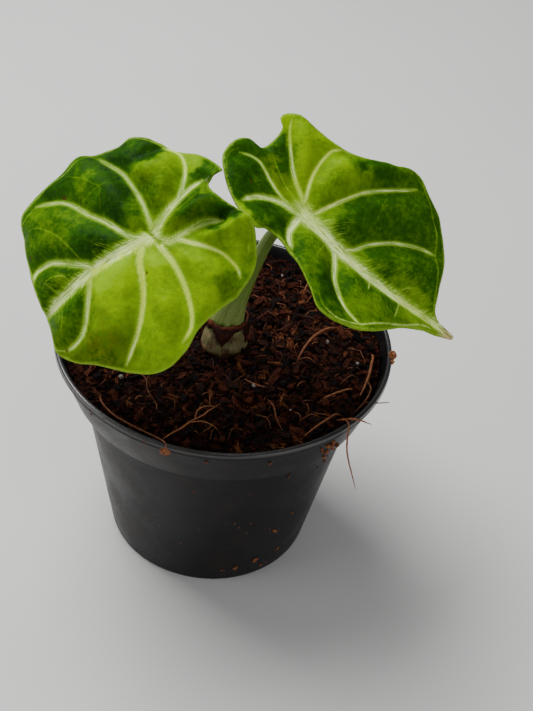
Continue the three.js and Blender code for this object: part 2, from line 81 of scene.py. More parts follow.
# Blades, in mm. joint is where the stalk meets the blade. An edge point is how far it lies towards the tip,
# how far across and how high it stands over the joint, anticlockwise as seen from the face. A patch of tissue
# is (along, across, how lime it is, how yellowed it is), and a speck is (along, across, radius). In the left
# blade the darkest patches along its deep creases are painted shade of those folds, not the tissue's colour.
LEFT_BLADE = {
    "joint": (-16.5, -21.6, 106.6),
    "face": (-0.25, -0.60, 0.76),
    "towards_tip": (-0.81, -0.31, -0.51),
    "rise_shape": 1.9,
    "swell": 2.5,
    "pinch": Crease(0.6, 0.5, [(0.9, -2.4), (0, 0), (-0.6, 2)]),
    "dry_spot": (-14.5, -17.2, 0.6),
    "edge": [
        (31.5, -0.5, -9.5), (31.5, 4.5, -7.5), (32.5, 9, -8.5), (30, 13, -8), (25, 17, -7),
        (19.5, 22, -6.5), (15, 25, -7), (10.5, 26, -6.5), (5.5, 25, -5), (0.5, 22.5, -3.5),
        (-5, 21, -4), (-11, 19.5, -4.5), (-16.5, 16, -4.5), (-19.5, 11, -3.5), (-21, 7.5, -1.5),
        (-20, 4.5, -0.5), (-17.5, 0, -1), (-16, -5, -1.5), (-17.5, -6, -2), (-20, -7, -3),
        (-19, -10.5, -3.5), (-17, -13.5, -3.5), (-13.5, -16, -3), (-10.5, -20, -2.5), (-8, -24, -4),
        (-4.5, -26.5, -5), (-1.5, -25.5, -4), (3.5, -25.5, -2.5), (8, -28.5, -4.5), (14, -27, -5),
        (21.5, -26, -6.5), (26.5, -24, -7.5), (28.5, -18, -7.5), (30, -10, -6.5), (31, -2.5, -7),
    ],
    "veins": [
        Vein(1.5, 0.9, 1.0, [(0, 0), (4, -0.5), (9, -0.8), (14, -0.9), (19, -0.8), (24, -0.4), (31, 0.2)]),
        Vein(0.82, 0.5, 0.62, [
            (15, -1.2), (16.5, -3), (18.5, -4.6), (21, -6.6), (23.5, -8.3), (26, -9), (28.5, -8.8),
            (30, -7.2),
        ]),
        Vein(0.7, 0.37, 0.62, [
            (2, -1), (3.8, -2.2), (5.5, -4.6), (8, -9), (11, -13.2), (13.5, -17.5), (16, -20.2), (19, -22),
            (22, -23.5),
        ]),
        Vein(0.68, 0.4, 0.5, [
            (-0.5, -1), (-1, -5), (-1.2, -9.5), (-0.8, -13.5), (0, -17.5), (1.5, -20.5), (3.6, -24),
        ]),
        Vein(1.08, 0.38, 0.67, [
            (-0.5, -0.5), (-3, -2.4), (-5.5, -3.7), (-8.5, -5), (-11, -5.9), (-15, -6.7),
        ]),
        Vein(0.54, 0.3, 0.69, [
            (-8.5, -5), (-11, -8), (-12.5, -10.5), (-13.2, -13), (-13.1, -15.3), (-12, -17.2),
            (-10.4, -18.7),
        ]),
        Vein(1.1, 0.5, 0.56, [
            (-0.5, 1), (-3, 2.7), (-5.5, 2.7), (-8.5, 2.4), (-11, 2.3), (-13, 2.8), (-14.8, 3.9),
        ]),
        Vein(0.6, 0.3, 0.74, [
            (-4.5, 3.2), (-7.5, 6), (-10, 8.5), (-11.5, 10.3), (-12.4, 12.5), (-12.9, 15), (-12.4, 16.8),
        ]),
        Vein(0.74, 0.4, 0.84, [
            (-0.3, 1), (-0.6, 3.2), (-1.3, 6.5), (-1.5, 9), (-1.3, 12.5), (-0.8, 15.5), (0.3, 19),
            (2, 21.5), (5, 23),
        ]),
        Vein(0.88, 0.36, 0.84, [
            (3, 0.8), (4.8, 2.9), (6, 6.5), (7.3, 9.5), (10, 13.5), (13, 16.5), (16, 18.8), (18.6, 20.6),
        ]),
        Vein(0.8, 0.48, 0.62, [
            (16.5, -0.4), (17.4, 0.8), (18.5, 2.5), (20.5, 5.5), (22.5, 8), (24.5, 9.8), (27, 10.5),
            (29.8, 10.4),
        ]),
    ],
    "veinlets": [
        Vein(0.2, 0.15, 0.4, [(16.6, -3), (17.5, -7), (19, -11.5), (21.5, -15.5), (24, -18), (26.8, -18.6)]),
        Vein(0.2, 0.2, 0.29, [
            (8, -11.5), (6.6, -14), (5.5, -16.6), (6.6, -18), (8, -20.5), (10.5, -23), (12, -25),
        ]),
        Vein(0.2, 0.2, 0.29, [(3.6, -16.4), (7, -16.6), (10.8, -16.2)]),
        Vein(0.25, 0.15, 0.43, [(21.3, -1.4), (22.5, -4), (26, -5), (28.5, -4.4)]),
        Vein(0.2, 0.15, 0.43, [(25.3, -1), (26.5, -4), (27.5, -5.5)]),
        Vein(0.2, 0.15, 0.37, [(26, 0.8), (26.5, 4.4), (28.5, 6.8)]),
        Vein(0.3, 0.2, 0.32, [(-2, -0.6), (-6, -2.2), (-10, -3.2), (-14, -4.2)]),
        Vein(0.25, 0.2, 0.25, [(21, 13), (22.5, 15), (23.2, 16.5)]),
        Vein(0.2, 0.2, 0.25, [(9, -20.6), (9.4, -22), (11, -23.5)]),
    ],
    "margin_veins": [
        Vein(0.22, 0.22, 0.44, [(29.8, 10.4), (32, 8.5), (31.6, 6.2), (31, 4)]),
        Vein(0.22, 0.22, 0.36, [
            (31, 11.6), (27.5, 15), (24, 17.6), (21, 20), (18.5, 22.1), (15.5, 23.9), (13, 24.2),
            (10.5, 23.5), (8.5, 24.4), (5, 23.2),
        ]),
        Vein(0.25, 0.2, 0.42, [
            (30, -7.2), (29.5, -10), (29, -15), (28, -19), (27, -22.6), (24, -24.4), (20, -25.3),
            (16, -25.9), (12, -25.9), (8.5, -26.6), (5.5, -26), (3.6, -24),
        ]),
        Vein(0.2, 0.2, 0.36, [(22, -23.5), (24.5, -22.4), (27.4, -21.2)]),
        Vein(0.25, 0.2, 0.38, [
            (1, -25), (-3, -25.6), (-5.5, -25), (-7.5, -23), (-9.5, -20.5), (-11.5, -18), (-14, -15.6),
            (-17, -13), (-18.4, -10.8), (-19.3, -8.4),
        ]),
        Vein(0.25, 0.2, 0.36, [(-16.4, 13.4), (-17.5, 11.5), (-19, 9.5), (-19.8, 7)]),
    ],
    "creases": [
        Crease(1.9, 1.7, [(-5, 3), (-9, 3.4), (-13, 3.5), (-17, 3.6), (-20.5, 3.8)]),
        Crease(-1.5, 2.2, [(-6, 6), (-11, 6.6), (-16, 6.8), (-20.5, 7.2)]),
        Crease(-0.8, 1.6, [(-5, -0.6), (-10, -1.6), (-16, -1.4)]),
        Crease(1.0, 1.6, [(-2, -17), (-5, -18.6), (-9, -18.8), (-12, -18)]),
        Crease(-0.9, 2.0, [(-3, -12), (-6, -14.6), (-10, -15)]),
        Crease(0.8, 1.5, [(19, 14), (23, 14.5), (28, 14)]),
        Crease(0.7, 1.4, [(-8, 16), (-9.5, 18.5), (-10, 21)]),
    ],
    "tissue": [
        (8, 4, 1.1, 0), (14, 3, 1.1, 0), (10, 9, 0.9, 0), (15, 8, 0.85, 0), (5, 5, 1.1, 0),
        (3, 11, 0.85, 0), (2, 15, 0.9, 0), (7, 16, 0.8, 0), (14, 13, 0.75, 0.15), (12, 20, 0.72, 0),
        (7, 22, 0.85, 0), (11, 24, 0.85, 0), (18, 11, 0.6, 0.5), (19, 15, 0.45, 0.9), (23, 14, 0.4, 0.9),
        (26, 13, 0.4, 0.6), (22, 17, 0.35, 0.8), (29, 12, 0.45, 0.4), (17, 18, 0.5, 0.5), (20, 8, 0.6, 0.2),
        (23, 4.5, 0.3, 0), (27, 7, 0.4, 0.1), (25, 2, 0.35, 0), (28, 3, 0.36, 0.1), (-4, 8, 0.8, 0),
        (-6, 12, 0.8, 0), (-4, 18, 0.92, 0.1), (-9, 18, 0.45, 0.2), (-13, 17, 0.4, 0), (-2, 21, 0.72, 0),
        (-10, 8, 0.7, 0), (-15, 11, 0.82, 0), (-16, 7, 0.7, 0), (-19, 8, 0.75, 0), (-9, 5, 0.65, 0),
        # Painted shade: the last three patches of the next line lie along the deep crease and darken it as
        # its shadow
        (-13, 13, 0.82, 0), (-16, 14, 0.6, 0), (-14, 4.2, 0.1, 0), (-18, 4, 0.04, 0), (-17, 2, 0.1, 0),
        (-5, 0.6, 0.45, 0.5), (-9, 0.2, 0.35, 0.4), (-13, 0, 0.3, 0.2), (-13, -2.4, 0.08, 0),
        (-9, -1.8, 0.2, 0), (-16, -1, 0.35, 0.1), (-15.5, -4, 0.42, 0.2), (-15, -8.3, 0.2, 0),
        (-18, -9, 0.3, 0), (-16, -11, 0.8, 0), (-14, -12.5, 0.75, 0), (-12, -8, 0.4, 0),
        (-6, -7, 0.55, 0.3), (-3, -7, 0.3, 0.3), (-4, -11, 0.4, 0.2), (-8, -10, 0.55, 0.1),
        (-9, -14, 0.8, 0), (-5, -15, 0.6, 0), (-11, -16, 0.75, 0), (-2.5, -16, 0.5, 0),
        # Painted shade: the last three patches of the next line lie along the crease near across -18 and
        # darken it as its shadow
        (-2.5, -4, 0.45, 0.1), (-9, -18.6, 0.1, 0), (-5, -19, 0, 0), (-2.5, -19, 0.05, 0),
        (-7, -22, 0.12, 0), (-4, -25, 0.25, 0), (-1.5, -23, 0.08, 0), (2, -4.5, 0.5, 0.1),
        (1, -7.5, 0.3, 0.1), (4, -9, 0.03, 0), (3, -13, 0.02, 0), (2, -18, 0.12, 0), (6.5, -12, 0.12, 0),
        (7.5, -16, 0.35, 0), (6, -18.5, 0.25, 0), (9, -20, 0.45, 0.1), (9, -9.5, 0.42, 0),
        (12, -13, 0.45, 0), (11, -17, 0.3, 0), (6, -24, 0.15, 0), (12, -22, 0.12, 0), (9, -26.5, 0.3, 0),
        (13, -19, 0.3, 0), (16, -24, 0.12, 0), (22, -25, 0.3, 0), (8, -3.6, 0.2, 0), (11, -5, 0.02, 0),
        (10, -8, 0.15, 0), (14, -8, 0.1, 0), (17, -6.5, 0.2, 0), (15, -12, 0.3, 0), (18, -11, 0.35, 0.1),
        (17, -17, 0.4, 0.1), (21, -13, 0.42, 0.2), (24, -15, 0.35, 0.1), (22, -20, 0.4, 0.1),
        (26, -19, 0.3, 0), (27, -12, 0.25, 0.1), (23, -10, 0.3, 0), (20, -4, 0.3, 0), (23, -4, 0.5, 0.2),
        (26, -3, 0.3, 0), (28, -5.5, 0.3, 0.1), (22, -6, 0.25, 0),
    ],
    "specks": [(4.7, 6.6, 0.4), (29.7, 10.4, 0.35), (14.5, -20.4, 0.45), (27.9, -12.8, 0.35)],
}

RIGHT_BLADE = {
    "joint": (15, -5.4, 106.9),
    "face": (0.29, -0.43, 0.86),
    "towards_tip": (0.89, -0.20, -0.40),
    "rise_shape": 1.25,
    "swell": 2.1,
    "pinch": Crease(0.2, 1.2, [(-0.5, -0.3), (-0.4, 0.4)]),
    "dry_spot": (48.5, -0.4, 7.5),
    "edge": [
        (47, 0, -9), (44, 0, -8), (40, 1.5, -6.5), (38, 7, -5.5), (36, 13.5, -4.5), (32, 18.5, -3),
        (29, 21.5, -1.5), (24, 23.5, 0.5), (18, 25.5, 2.5), (11.5, 22.5, 3.5), (5, 20, 3),
        (-1.5, 19, 2.5), (-7, 19.5, 3), (-12, 19.5, 3.5), (-15, 18, 3), (-15.5, 15.5, 3),
        (-14, 14.5, 2), (-14.5, 10.5, 1), (-16, 9, 0), (-19, 8.5, 0.5), (-21.5, 5, 1.5),
        (-22, -0.5, 2.5), (-20, -4.5, 3), (-16, -9, 4), (-11, -12.5, 5), (-7, -13.5, 5),
        (-5, -12, 4.5), (-0.5, -12.5, 4.5), (4.5, -15.5, 5.5), (9, -19.5, 6.5), (13.5, -23, 7),
        (20, -22, 6), (26.5, -18, 3.5), (33, -11, 0), (38.5, -6, -4), (43, -3, -7),
    ],
    "veins": [
        Vein(2.1, 0.95, 1.0, [
            (0, 0), (2, -0.7), (5, -1.5), (9, -2.3), (13, -3), (17, -3.5), (21, -3.8), (25, -3.6), (29, -3),
            (33, -2.3), (37, -1.5), (41, -0.7), (45.5, -0.3),
        ]),
        Vein(0.5, 0.32, 0.66, [
            (12.5, -2), (13.5, -0.9), (15, 0.5), (17, 3.5), (19.5, 6), (22.5, 8.5), (25.5, 10.3), (29, 12),
            (32.8, 13.1),
        ]),
        Vein(0.52, 0.25, 0.78, [
            (1.6, 0), (3, 2), (5, 5.5), (7, 8.8), (9.5, 12.5), (12.5, 15.5), (16, 18.5), (18.5, 20.5),
            (20.5, 22.2),
        ]),
        Vein(0.52, 0.32, 0.74, [
            (-0.4, 1), (-1, 4), (-2, 7.5), (-2.3, 11), (-2, 14.5), (-1.3, 17), (0.5, 18.7),
        ]),
        Vein(0.57, 0.23, 0.67, [
            (-0.3, 0.8), (-1.5, 2.8), (-4.5, 5.3), (-6.8, 7.5), (-9, 10.3), (-11, 13), (-12.5, 15.5),
            (-13.1, 17.3),
        ]),
        Vein(0.64, 0.28, 0.52, [
            (-1, -0.2), (-3.5, -0.6), (-7, 0.3), (-10, 1.8), (-12.5, 3.5), (-14.3, 4.3), (-16.5, 4),
            (-19, 2.8),
        ]),
        Vein(1.04, 0.5, 0.67, [
            (-0.5, -0.6), (-2, -1.3), (-5.5, -1.8), (-8.5, -3.3), (-11, -5.5), (-12.8, -8.5),
        ]),
        Vein(0.9, 0.48, 0.88, [(0.3, -1), (0, -2.5), (-0.3, -5), (-0.3, -8), (0.5, -10.6), (1.8, -12.3)]),
        Vein(0.66, 0.32, 0.88, [
            (10.5, -3), (11.5, -5.5), (12.5, -8.5), (13.5, -11.5), (15.5, -14.5), (18, -17), (21, -18.4),
            (23.3, -18.8),
        ]),
    ],
    "veinlets": [
        Vein(0.25, 0.2, 0.4, [(8.3, -4.2), (7.5, -8), (7.3, -10), (8, -12)]),
        Vein(0.24, 0.2, 0.6, [(30.2, -3.6), (29.8, -8), (30, -11)]),
        Vein(0.3, 0.15, 0.62, [(21.2, -4.4), (21.3, -7), (21.3, -9.6)]),
        Vein(0.3, 0.15, 0.43, [(28.5, -1.6), (30.4, 0.8), (32.6, 2.6)]),
        Vein(0.3, 0.2, 0.36, [(-2, 1.4), (-6, 3.4), (-10, 6), (-13.2, 8.8)]),
        Vein(0.25, 0.15, 0.27, [(-3, 1.2), (-7.5, 3.2), (-12.4, 5.2)]),
        Vein(0.25, 0.15, 0.32, [(18.5, -1.6), (19.2, 0.4)]),
        Vein(0.2, 0.15, 0.29, [(16, 9), (15.2, 12.5), (15.4, 15.5)]),
        Vein(0.2, 0.15, 0.25, [(24, 5), (27.5, 6.6), (31.5, 7.2)]),
    ],
    "margin_veins": [
        Vein(0.32, 0.22, 0.38, [
            (41, -0.2), (39.2, 1.4), (38, 3.6), (37, 6), (36, 8.5), (34.5, 11), (32.8, 13.3), (30.5, 17),
            (27, 19.8), (24, 22.2), (20.5, 23.9), (17, 24.2),
        ]),
        Vein(0.42, 0.28, 0.5, [
            (41.5, -2.4), (39, -4), (36.5, -6), (33, -10), (29.5, -13), (26.5, -15.6), (23.3, -18.6),
            (20.5, -20.6), (17.5, -21.8), (14, -21.7), (11.5, -19.8),
        ]),
        Vein(0.2, 0.2, 0.27, [(-19.4, 4), (-20.8, 1), (-20.4, -2), (-18.6, -5)]),
    ],
    "creases": [
        Crease(1.5, 1.8, [(-1.5, 0.6), (-5, 2.8), (-10, 6), (-15, 9.6)]),
    ],
    "tissue": [
        (-4, 6, 0.8, 0.5), (-6, 12, 0.95, 0.3), (-9.5, 15, 0.8, 0), (-5, 17, 0.85, 0), (-11.5, 18, 0.75, 0),
        (-14.6, 16, 1.1, 0), (-3.5, 9, 0.85, 0.3), (1, 7, 0.65, 0), (3, 11, 0.6, 0), (1, 15, 0.75, 0),
        (6, 13, 0.7, 0), (8, 16.5, 0.6, 0), (4, 18, 0.5, 0), (0, 11, 0.75, 0.1), (7, 17.5, 0.15, 0),
        (12, 20, 0.3, 0), (14.5, 22.5, 0.4, 0), (9.5, 19, 0.2, 0), (6, 3.5, 0.6, 0), (9, 3, 0.3, 0),
        (10, 7, 0.27, 0), (12.5, 4, 0.3, 0), (13, 10, 0.2, 0), (16.5, 13, 0.3, 0), (18, 17, 0.33, 0),
        (20.5, 20, 0.3, 0), (22, 15.5, 0.3, 0), (25.5, 13, 0.3, 0), (26, 18.5, 0.3, 0), (30, 15.5, 0.3, 0),
        (22, 23, 0.3, 0), (18, 9, 0.32, 0), (17, -0.3, 0.5, 0), (20, 3, 0.25, 0), (24, 2, 0.3, 0),
        (28.5, 4.5, 0.35, 0), (23, 6.5, 0.33, 0), (30, 9, 0.28, 0), (34, 5, 0.25, 0), (33.5, 0.8, 0.6, 0),
        (28, 0.3, 0.5, 0), (36, 8, 0.3, 0), (16, -7, 0.45, 0), (20, -8.5, 0.28, 0), (24, -8, 0.4, 0),
        (27.5, -8, 0.3, 0), (19, -13, 0.45, 0), (23, -14.5, 0.55, 0), (27, -12, 0.42, 0),
        (32, -8.5, 0.45, 0), (34.5, -6, 0.65, 0), (17, -10.5, 0.3, 0), (21, -17, 0.5, 0), (3, -6, 0.5, 0),
        (5, -8.5, 0.45, 0), (9.5, -7.5, 0.45, 0), (10.5, -11, 0.3, 0), (6, -12.5, 0.4, 0),
        (9, -15, 0.38, 0), (12, -15, 0.05, 0), (14.5, -17.5, 0.08, 0), (10, -18.5, 0.4, 0),
        (16.5, -19.5, 0.35, 0), (3, -10.5, 0.32, 0), (-3, -5, 0.28, 0), (-6, -8, 0.08, 0),
        (-3, -9.5, 0.12, 0), (-9, -8.5, 0.1, 0), (-8, -11, 0.3, 0), (-8, -13.2, 0.95, 0),
        (-10.5, -12.3, 0.9, 0), (-3, -11.5, 0.35, 0), (-12, -1, 0.25, 0), (-15, 1, 0.12, 0),
        (-15.5, -2.5, 0.1, 0), (-18.5, -3, 0.14, 0), (-17, -6, 0.14, 0), (-19.5, 1, 0.25, 0),
        (-14, -5.5, 0.22, 0), (-10, -1.5, 0.25, 0), (-19, 5.5, 0.2, 0), (-8, 3.5, 0.5, 0.6),
        (-11, 6.5, 0.4, 0.5), (-9, 6.8, 0.15, 0), (-12, 9.6, 0.15, 0), (-14, 11.5, 0.3, 0),
        (-16, 7.5, 0.2, 0), (-5, 2.3, 0.6, 0.4),
    ],
    "specks": [(3, 17.7, 0.28), (14.8, 24.6, 0.4), (-5.5, 16.4, 0.2), (-13.4, -3, 0.3)],
}

# Stalks in mm: centre, then half the width and half the depth of the section there
LEFT_STALK = [
    (-1.4, 3.8, 66.6, 1.8, 1.8), (-2.6, 3.8, 74.4, 1.6, 1.6), (-4.4, 2.2, 82, 1.55, 1.55),
    (-7.2, -2.6, 90, 1.5, 1.5), (-11.2, -10.8, 98.6, 1.4, 1.4), (-15.9, -20.2, 104.9, 1.4, 1.4),
    (-16.3, -21.1, 106.0, 1.5, 1.5),
]
RIGHT_STALK = [
    (-0.1, -0.6, 66.2, 4.3, 2.6), (0.5, -0.2, 70.2, 3.9, 2.3), (1.6, 0.2, 74.2, 3.1, 2.1),
    (3.3, 0.9, 78.6, 2.35, 2.0), (5.2, 1.4, 84, 1.8, 1.8), (8, 1, 93.2, 1.5, 1.5),
    (11.2, -1.6, 100.4, 1.4, 1.4), (14.5, -4.65, 105.3, 1.4, 1.4), (14.8, -5.1, 106.3, 1.5, 1.5),
]

# Stem base in mm: where it stands, and its radius at each height
STEM_PLACE = (-0.2, 1.0)
STEM_PROFILE = [
    (4.9, 50), (5.0, 56.5), (5.5, 58.8), (5.7, 61.2), (5.4, 63.6), (4.7, 65.9), (4.0, 67.6),
]

# How far from the stem's middle the chips begin, in mm
STEM_CLEARANCE = 5.6

# Dry scale round the foot of the stalks, in mm and degrees
SCALE_PLACE = (0.1, 1.45)
SCALE_RADIUS = 4.95
SCALE_TOP = 68.9
SCALE_BOTTOM = 67.3
SCALE_THICKNESS = 0.3
# Points that hang from it: bearing, half width in degrees, drop, flare
SCALE_POINTS = [
    (-93, 34, 4.4, 0.7), (-22, 13, 5.4, 0.5), (-138, 16, 0.9, 0.2), (62, 26, 1.4, 0.3), (170, 30, 2.0, 0.3),
]

# Soil in mm, as in the solid that it replaces
SOIL_LEVEL = 60.6
# Hollows in its surface: x, y, radius, depth
SOIL_HOLLOWS = [(9.5, 4.0, 6.0, 3.0), (-0.8, -4.4, 6.4, 2.2), (-24, -14, 7, 0.8), (20, -26, 6, 0.7)]
# Radius and height of its side, from the pot's floor up, and the radius of its top
SOIL_WALLS = [(25.4, 2.7), (33.9, 49.3), (36.9, 51.7), (39.8, 59.6)]
SOIL_TOP_RADIUS = 39.9
# How far from the middle of the pot chips, crumbs and fibres lie
CHIP_REACH = 38.2
CRUMB_REACH = 39.4
FIBRE_REACH = 34

# Coir strands in mm: radius, how pale each is, and its points
Strand = namedtuple("Strand", "radius paleness points")
STRANDS = [
    Strand(0.36, 0.5, [
        (29.0, 11.6, 60.0), (27.6, 9.8, 62.0), (25.4, 7.6, 63.0), (22.4, 3.7, 63.3), (20.4, -0.2, 62.8),
        (19.2, -3.4, 61.8), (18.5, -5.5, 60.0),
    ]),
    Strand(0.36, 0.6, [
        (37.4, 3.0, 60.4), (37.8, 0, 62.2), (37.4, -3.6, 62.4), (36.6, -8.9, 62.2), (35.4, -13, 61.6),
        (34.2, -15.8, 60.2),
    ]),
    Strand(0.24, 0.75, [
        (33.4, -11.2, 60.4), (32.6, -12.6, 61.8), (31.1, -13.8, 62.3), (28.3, -15.8, 62.3),
        (26, -17.2, 61.6), (25.0, -17.8, 60.4),
    ]),
    Strand(0.26, 0.6, [
        (31.0, -21.6, 60.6), (29.4, -22.6, 62.2), (27.0, -25.5, 62.6), (23.9, -28.7, 62.0),
        (20.5, -32.4, 60.4),
    ]),
    Strand(0.26, 0.6, [
        (-27.0, -24.0, 60.4), (-26.6, -27, 61.8), (-25.4, -29.4, 62.3), (-22.4, -32.4, 62.3),
        (-17.6, -34.9, 62.0), (-13.4, -37.2, 62.4), (-10.6, -39.6, 63.6), (-9.2, -40.9, 63.9),
        (-8.8, -41.8, 62.6),
    ]),
    Strand(0.2, 0.9, [
        (-10.6, -37.4, 61.0), (-8.6, -35.9, 62.0), (-6.4, -34.0, 62.4), (-4.5, -31.6, 62.6),
        (-2.2, -29.1, 62.4), (-0.2, -26.6, 62.6), (1.6, -24.0, 62.2),
    ]),
    Strand(0.14, 0.8, [(-4.8, -32.0, 62.6), (-2.0, -31.6, 63.0), (0.6, -32.0, 62.6), (2.4, -33.0, 61.8)]),
    Strand(0.16, 0.85, [(-3.6, -30.6, 62.6), (-3.4, -28.6, 63.3), (-2.0, -26.9, 63.4), (0.4, -25.6, 62.6)]),
    Strand(0.24, 0.75, [
        (29.6, -23.6, 61.2), (31.3, -25.2, 63.2), (32.9, -25.7, 64.2), (34.6, -25.9, 64.3),
        (36.2, -25.9, 63.9), (37.9, -25.6, 63.0),
    ]),
    Strand(0.22, 0.7, [
        (31.0, -24.4, 62.8), (32.2, -28.0, 64.6), (32.3, -29.6, 62.4), (32.8, -29.2, 57.5),
        (34.0, -27.4, 51.5), (35.6, -25.0, 45.0), (36.9, -22.8, 39.4), (37.6, -21.6, 36.2),
    ]),
    Strand(0.16, 0.5, [(36.2, -16.2, 61.4), (38.6, -17.4, 62.6), (40.8, -18.2, 63.8), (42.0, -18.0, 64.0)]),
    Strand(0.22, 0.4, [(36.8, -9.6, 62.2), (37.4, -13, 62.8), (36.2, -16.8, 62.4), (33.6, -20.4, 61.0)]),
    Strand(0.2, 0.4, [(12.4, -18.6, 60.6), (14.2, -22.4, 62.2), (15.4, -26.4, 61.8), (17.8, -30.4, 60.6)]),
    Strand(0.18, 0.35, [
        (-20.2, -14.6, 60.6), (-17.2, -18.4, 62.2), (-15.8, -22.6, 61.8), (-12.4, -26, 60.4),
    ]),
    Strand(0.24, 0.4, [(-34, 6, 60.4), (-30.4, 10.6, 62.4), (-26.2, 13.4, 62.0), (-22.4, 17.8, 60.4)]),
    Strand(0.26, 0.5, [(-12.6, 30.2, 60.4), (-7.4, 33.2, 62.4), (-2.2, 32.6, 62.2), (3.4, 35.4, 60.6)]),
    Strand(0.22, 0.55, [(18.4, 22.2, 60.4), (20.2, 27.4, 62.4), (24.6, 29.4, 62.2), (27.0, 33.0, 61.2)]),
    Strand(0.18, 0.6, [(6.4, -12.2, 60.4), (8.2, -14.8, 61.8), (11.8, -15.6, 61.6), (14.6, -14.2, 60.4)]),
]

# Loose grains in mm: place and radius
PERLITE = [
    (26.1, 3.6, 62.3, 0.54), (33.9, -3.3, 62.2, 0.50), (8.9, -15.6, 61.7, 0.47), (-23.1, -18.5, 61.8, 0.61),
    (-16.3, 24.2, 61.9, 0.58), (12.6, 29.4, 61.8, 0.43), (-31.2, 12.8, 61.9, 0.43), (18.4, -22.6, 61.7, 0.29),
    (-3.0, 36.2, 61.8, 0.50), (30.2, 19.2, 61.9, 0.36), (-35.4, -8.2, 61.9, 0.40), (4.2, 20.6, 61.8, 0.32),
]
# Outside of the pot in mm: height and radius. Its mouth reaches the front of the model's box.
WALL_OUTLINE = [(0.8, 27.2), (49.9, 35.6), (51.1, 38.4), (61.3, 42), (62.1, 42.4)]
MOUTH_RADIUS = 42.5
# The greatest height of a crumb's middle, in mm
CRUMB_TOP = 63.6
# Crumbs stuck to the pot: bearing in degrees and height of the middle of a cluster, how far it spreads, how
# many crumbs it has, and the radius of the largest
CRUMB_CLUSTERS = [
    (-1.5, 63.2, 2.0, 5, 1.3), (-102.2, 61.6, 1.0, 5, 1.1), (-46.0, 58.6, 2.6, 12, 0.75),
    (-42.5, 53.0, 2.4, 9, 0.7), (-34.0, 43.5, 2.0, 4, 0.45), (-68.8, 59.0, 0.2, 1, 0.5),
    (-55.5, 45.0, 0.8, 2, 0.5), (-44.3, 25.5, 1.0, 2, 0.4), (-51.8, 19.9, 0.6, 2, 0.6),
    (-44.8, 8.4, 1.0, 3, 0.5), (-59.1, 7.6, 1.2, 3, 0.65), (-51.7, 3.6, 1.0, 2, 0.5),
    (-70.1, 5.6, 0.5, 2, 0.65), (-76.4, 5.2, 0.5, 2, 0.6), (-90.7, 4.4, 0.5, 1, 0.45),
    (-89.3, 60.1, 0.4, 2, 0.4), (-109.0, 62.6, 0.5, 2, 0.45), (-128.0, 60.5, 3.0, 4, 0.35),
    (-80.0, 33.0, 9.0, 7, 0.25), (-60.0, 20.0, 11.0, 10, 0.25), (-112.0, 24.0, 10.0, 6, 0.25),
    (12.0, 47.0, 5.0, 5, 0.4), (62.0, 58.0, 4.0, 6, 0.5), (128.0, 30.0, 9.0, 6, 0.35),
    (171.0, 60.0, 3.0, 5, 0.45), (-161.0, 44.0, 8.0, 5, 0.35), (88.0, 12.0, 6.0, 5, 0.4),
]

# How finely the pieces are divided: columns run round, rings and steps run across
POT_COLUMNS = 256
POT_STEP = 6 * MM
SOIL_COLUMNS = 220
SOIL_RINGS = 72
BED_COLUMNS = 96
BED_RINGS = 40
STEM_COLUMNS = 120
STALK_COLUMNS = 56
BLADE_COLUMNS = 520
BLADE_RINGS = 104
UNDERSIDE_RINGS = 40
EDGE_ROUNDS = 3
# How many different chips and grains there are
CHIP_SHAPES = 5
GRAIN_SHAPES = 4

# How far ripples of a blade's edge are smoothed at its joint, in columns, and how far from a vein in mm the
# swelling between veins begins
DEEPEST_SOFTENING = 44
PUFF_WIDTH = 2.9
# How much the fibres beside a vein lean towards its tip, and how far apart in mm two veins' patterns are
FIBRE_SLANT = 0.8
FLOW_STEP = 9.0
# How far red, green and blue light spread in a blade, and its brown and rib colours
BLADE_SUBSURFACE = (0.6 * MM, 0.9 * MM, 0.15 * MM)
SPECK_BROWN = (0.08, 0.014, 0.006)
RIB_GREEN = (0.36, 0.43, 0.20)


def setting(kind, **always):
    """Makes settings of one kind, each with its name, description and default."""

    def make(name, description, default):
        return kind(name=name, description=description, default=default, **always)

    return make


size = setting(bpy.props.FloatProperty, min=0, unit="LENGTH", precision=4)
share = setting(bpy.props.FloatProperty, min=0, max=1, subtype="FACTOR")
watts = setting(bpy.props.FloatProperty, min=0, unit="POWER")
count = setting(bpy.props.IntProperty, min=1)
colour = setting(bpy.props.FloatVectorProperty, min=0, max=1, size=3, subtype="COLOR")


def section(kind, name, description):
    """A group of settings."""
    return bpy.props.PointerProperty(type=kind, name=name, description=description)


class PotSettings(bpy.types.PropertyGroup):
    """Sizes and colours of the nursery pot"""

    mouth_radius: size("Mouth radius", "Outside radius of the rim", pot_high.x)
    height: size("Height", "Height of the pot", pot_high.z)
    base_radius: size("Base radius", "Outside radius at the foot", 27.2 * MM)
    wall: size("Wall", "Thickness of the wall", 1.1 * MM)
    drain_holes: count("Drain holes", "How many holes drain the floor", 8)
    drain_radius: size("Drain hole radius", "Radius of one drain hole", 2.4 * MM)
    drain_circle: size("Drain circle", "Radius of the circle that the drain holes lie on", 17 * MM)
    plastic: colour("Plastic", "Black of the moulded plastic", (0.0042, 0.0042, 0.0048))
    dust: colour("Dust", "Dry soil dust on the plastic", (0.11, 0.06, 0.035))


class SoilSettings(bpy.types.PropertyGroup):
    """Sizes and colours of the coir mix"""

    chip_spacing: size("Chip spacing", "Least distance between coarse chips", 2.3 * MM)
    crumb_spacing: size("Crumb spacing", "Least distance between fine crumbs", 1.05 * MM)
    fibre_spacing: size("Fibre spacing", "Least distance between fine fibres", 3.4 * MM)
    seed: count("Seed", "Draws the places of chips, crumbs and fibres", 7)
    dark: colour("Damp coir", "Colour in the hollows", (0.005, 0.0022, 0.0016))
    brown: colour("Coir", "Reddish brown of most chips", (0.078, 0.016, 0.005))
    tan: colour("Dry coir", "Tan of the driest chips and fibres", (0.34, 0.125, 0.038))
    perlite: colour("Perlite", "White grains", (0.42, 0.40, 0.37))


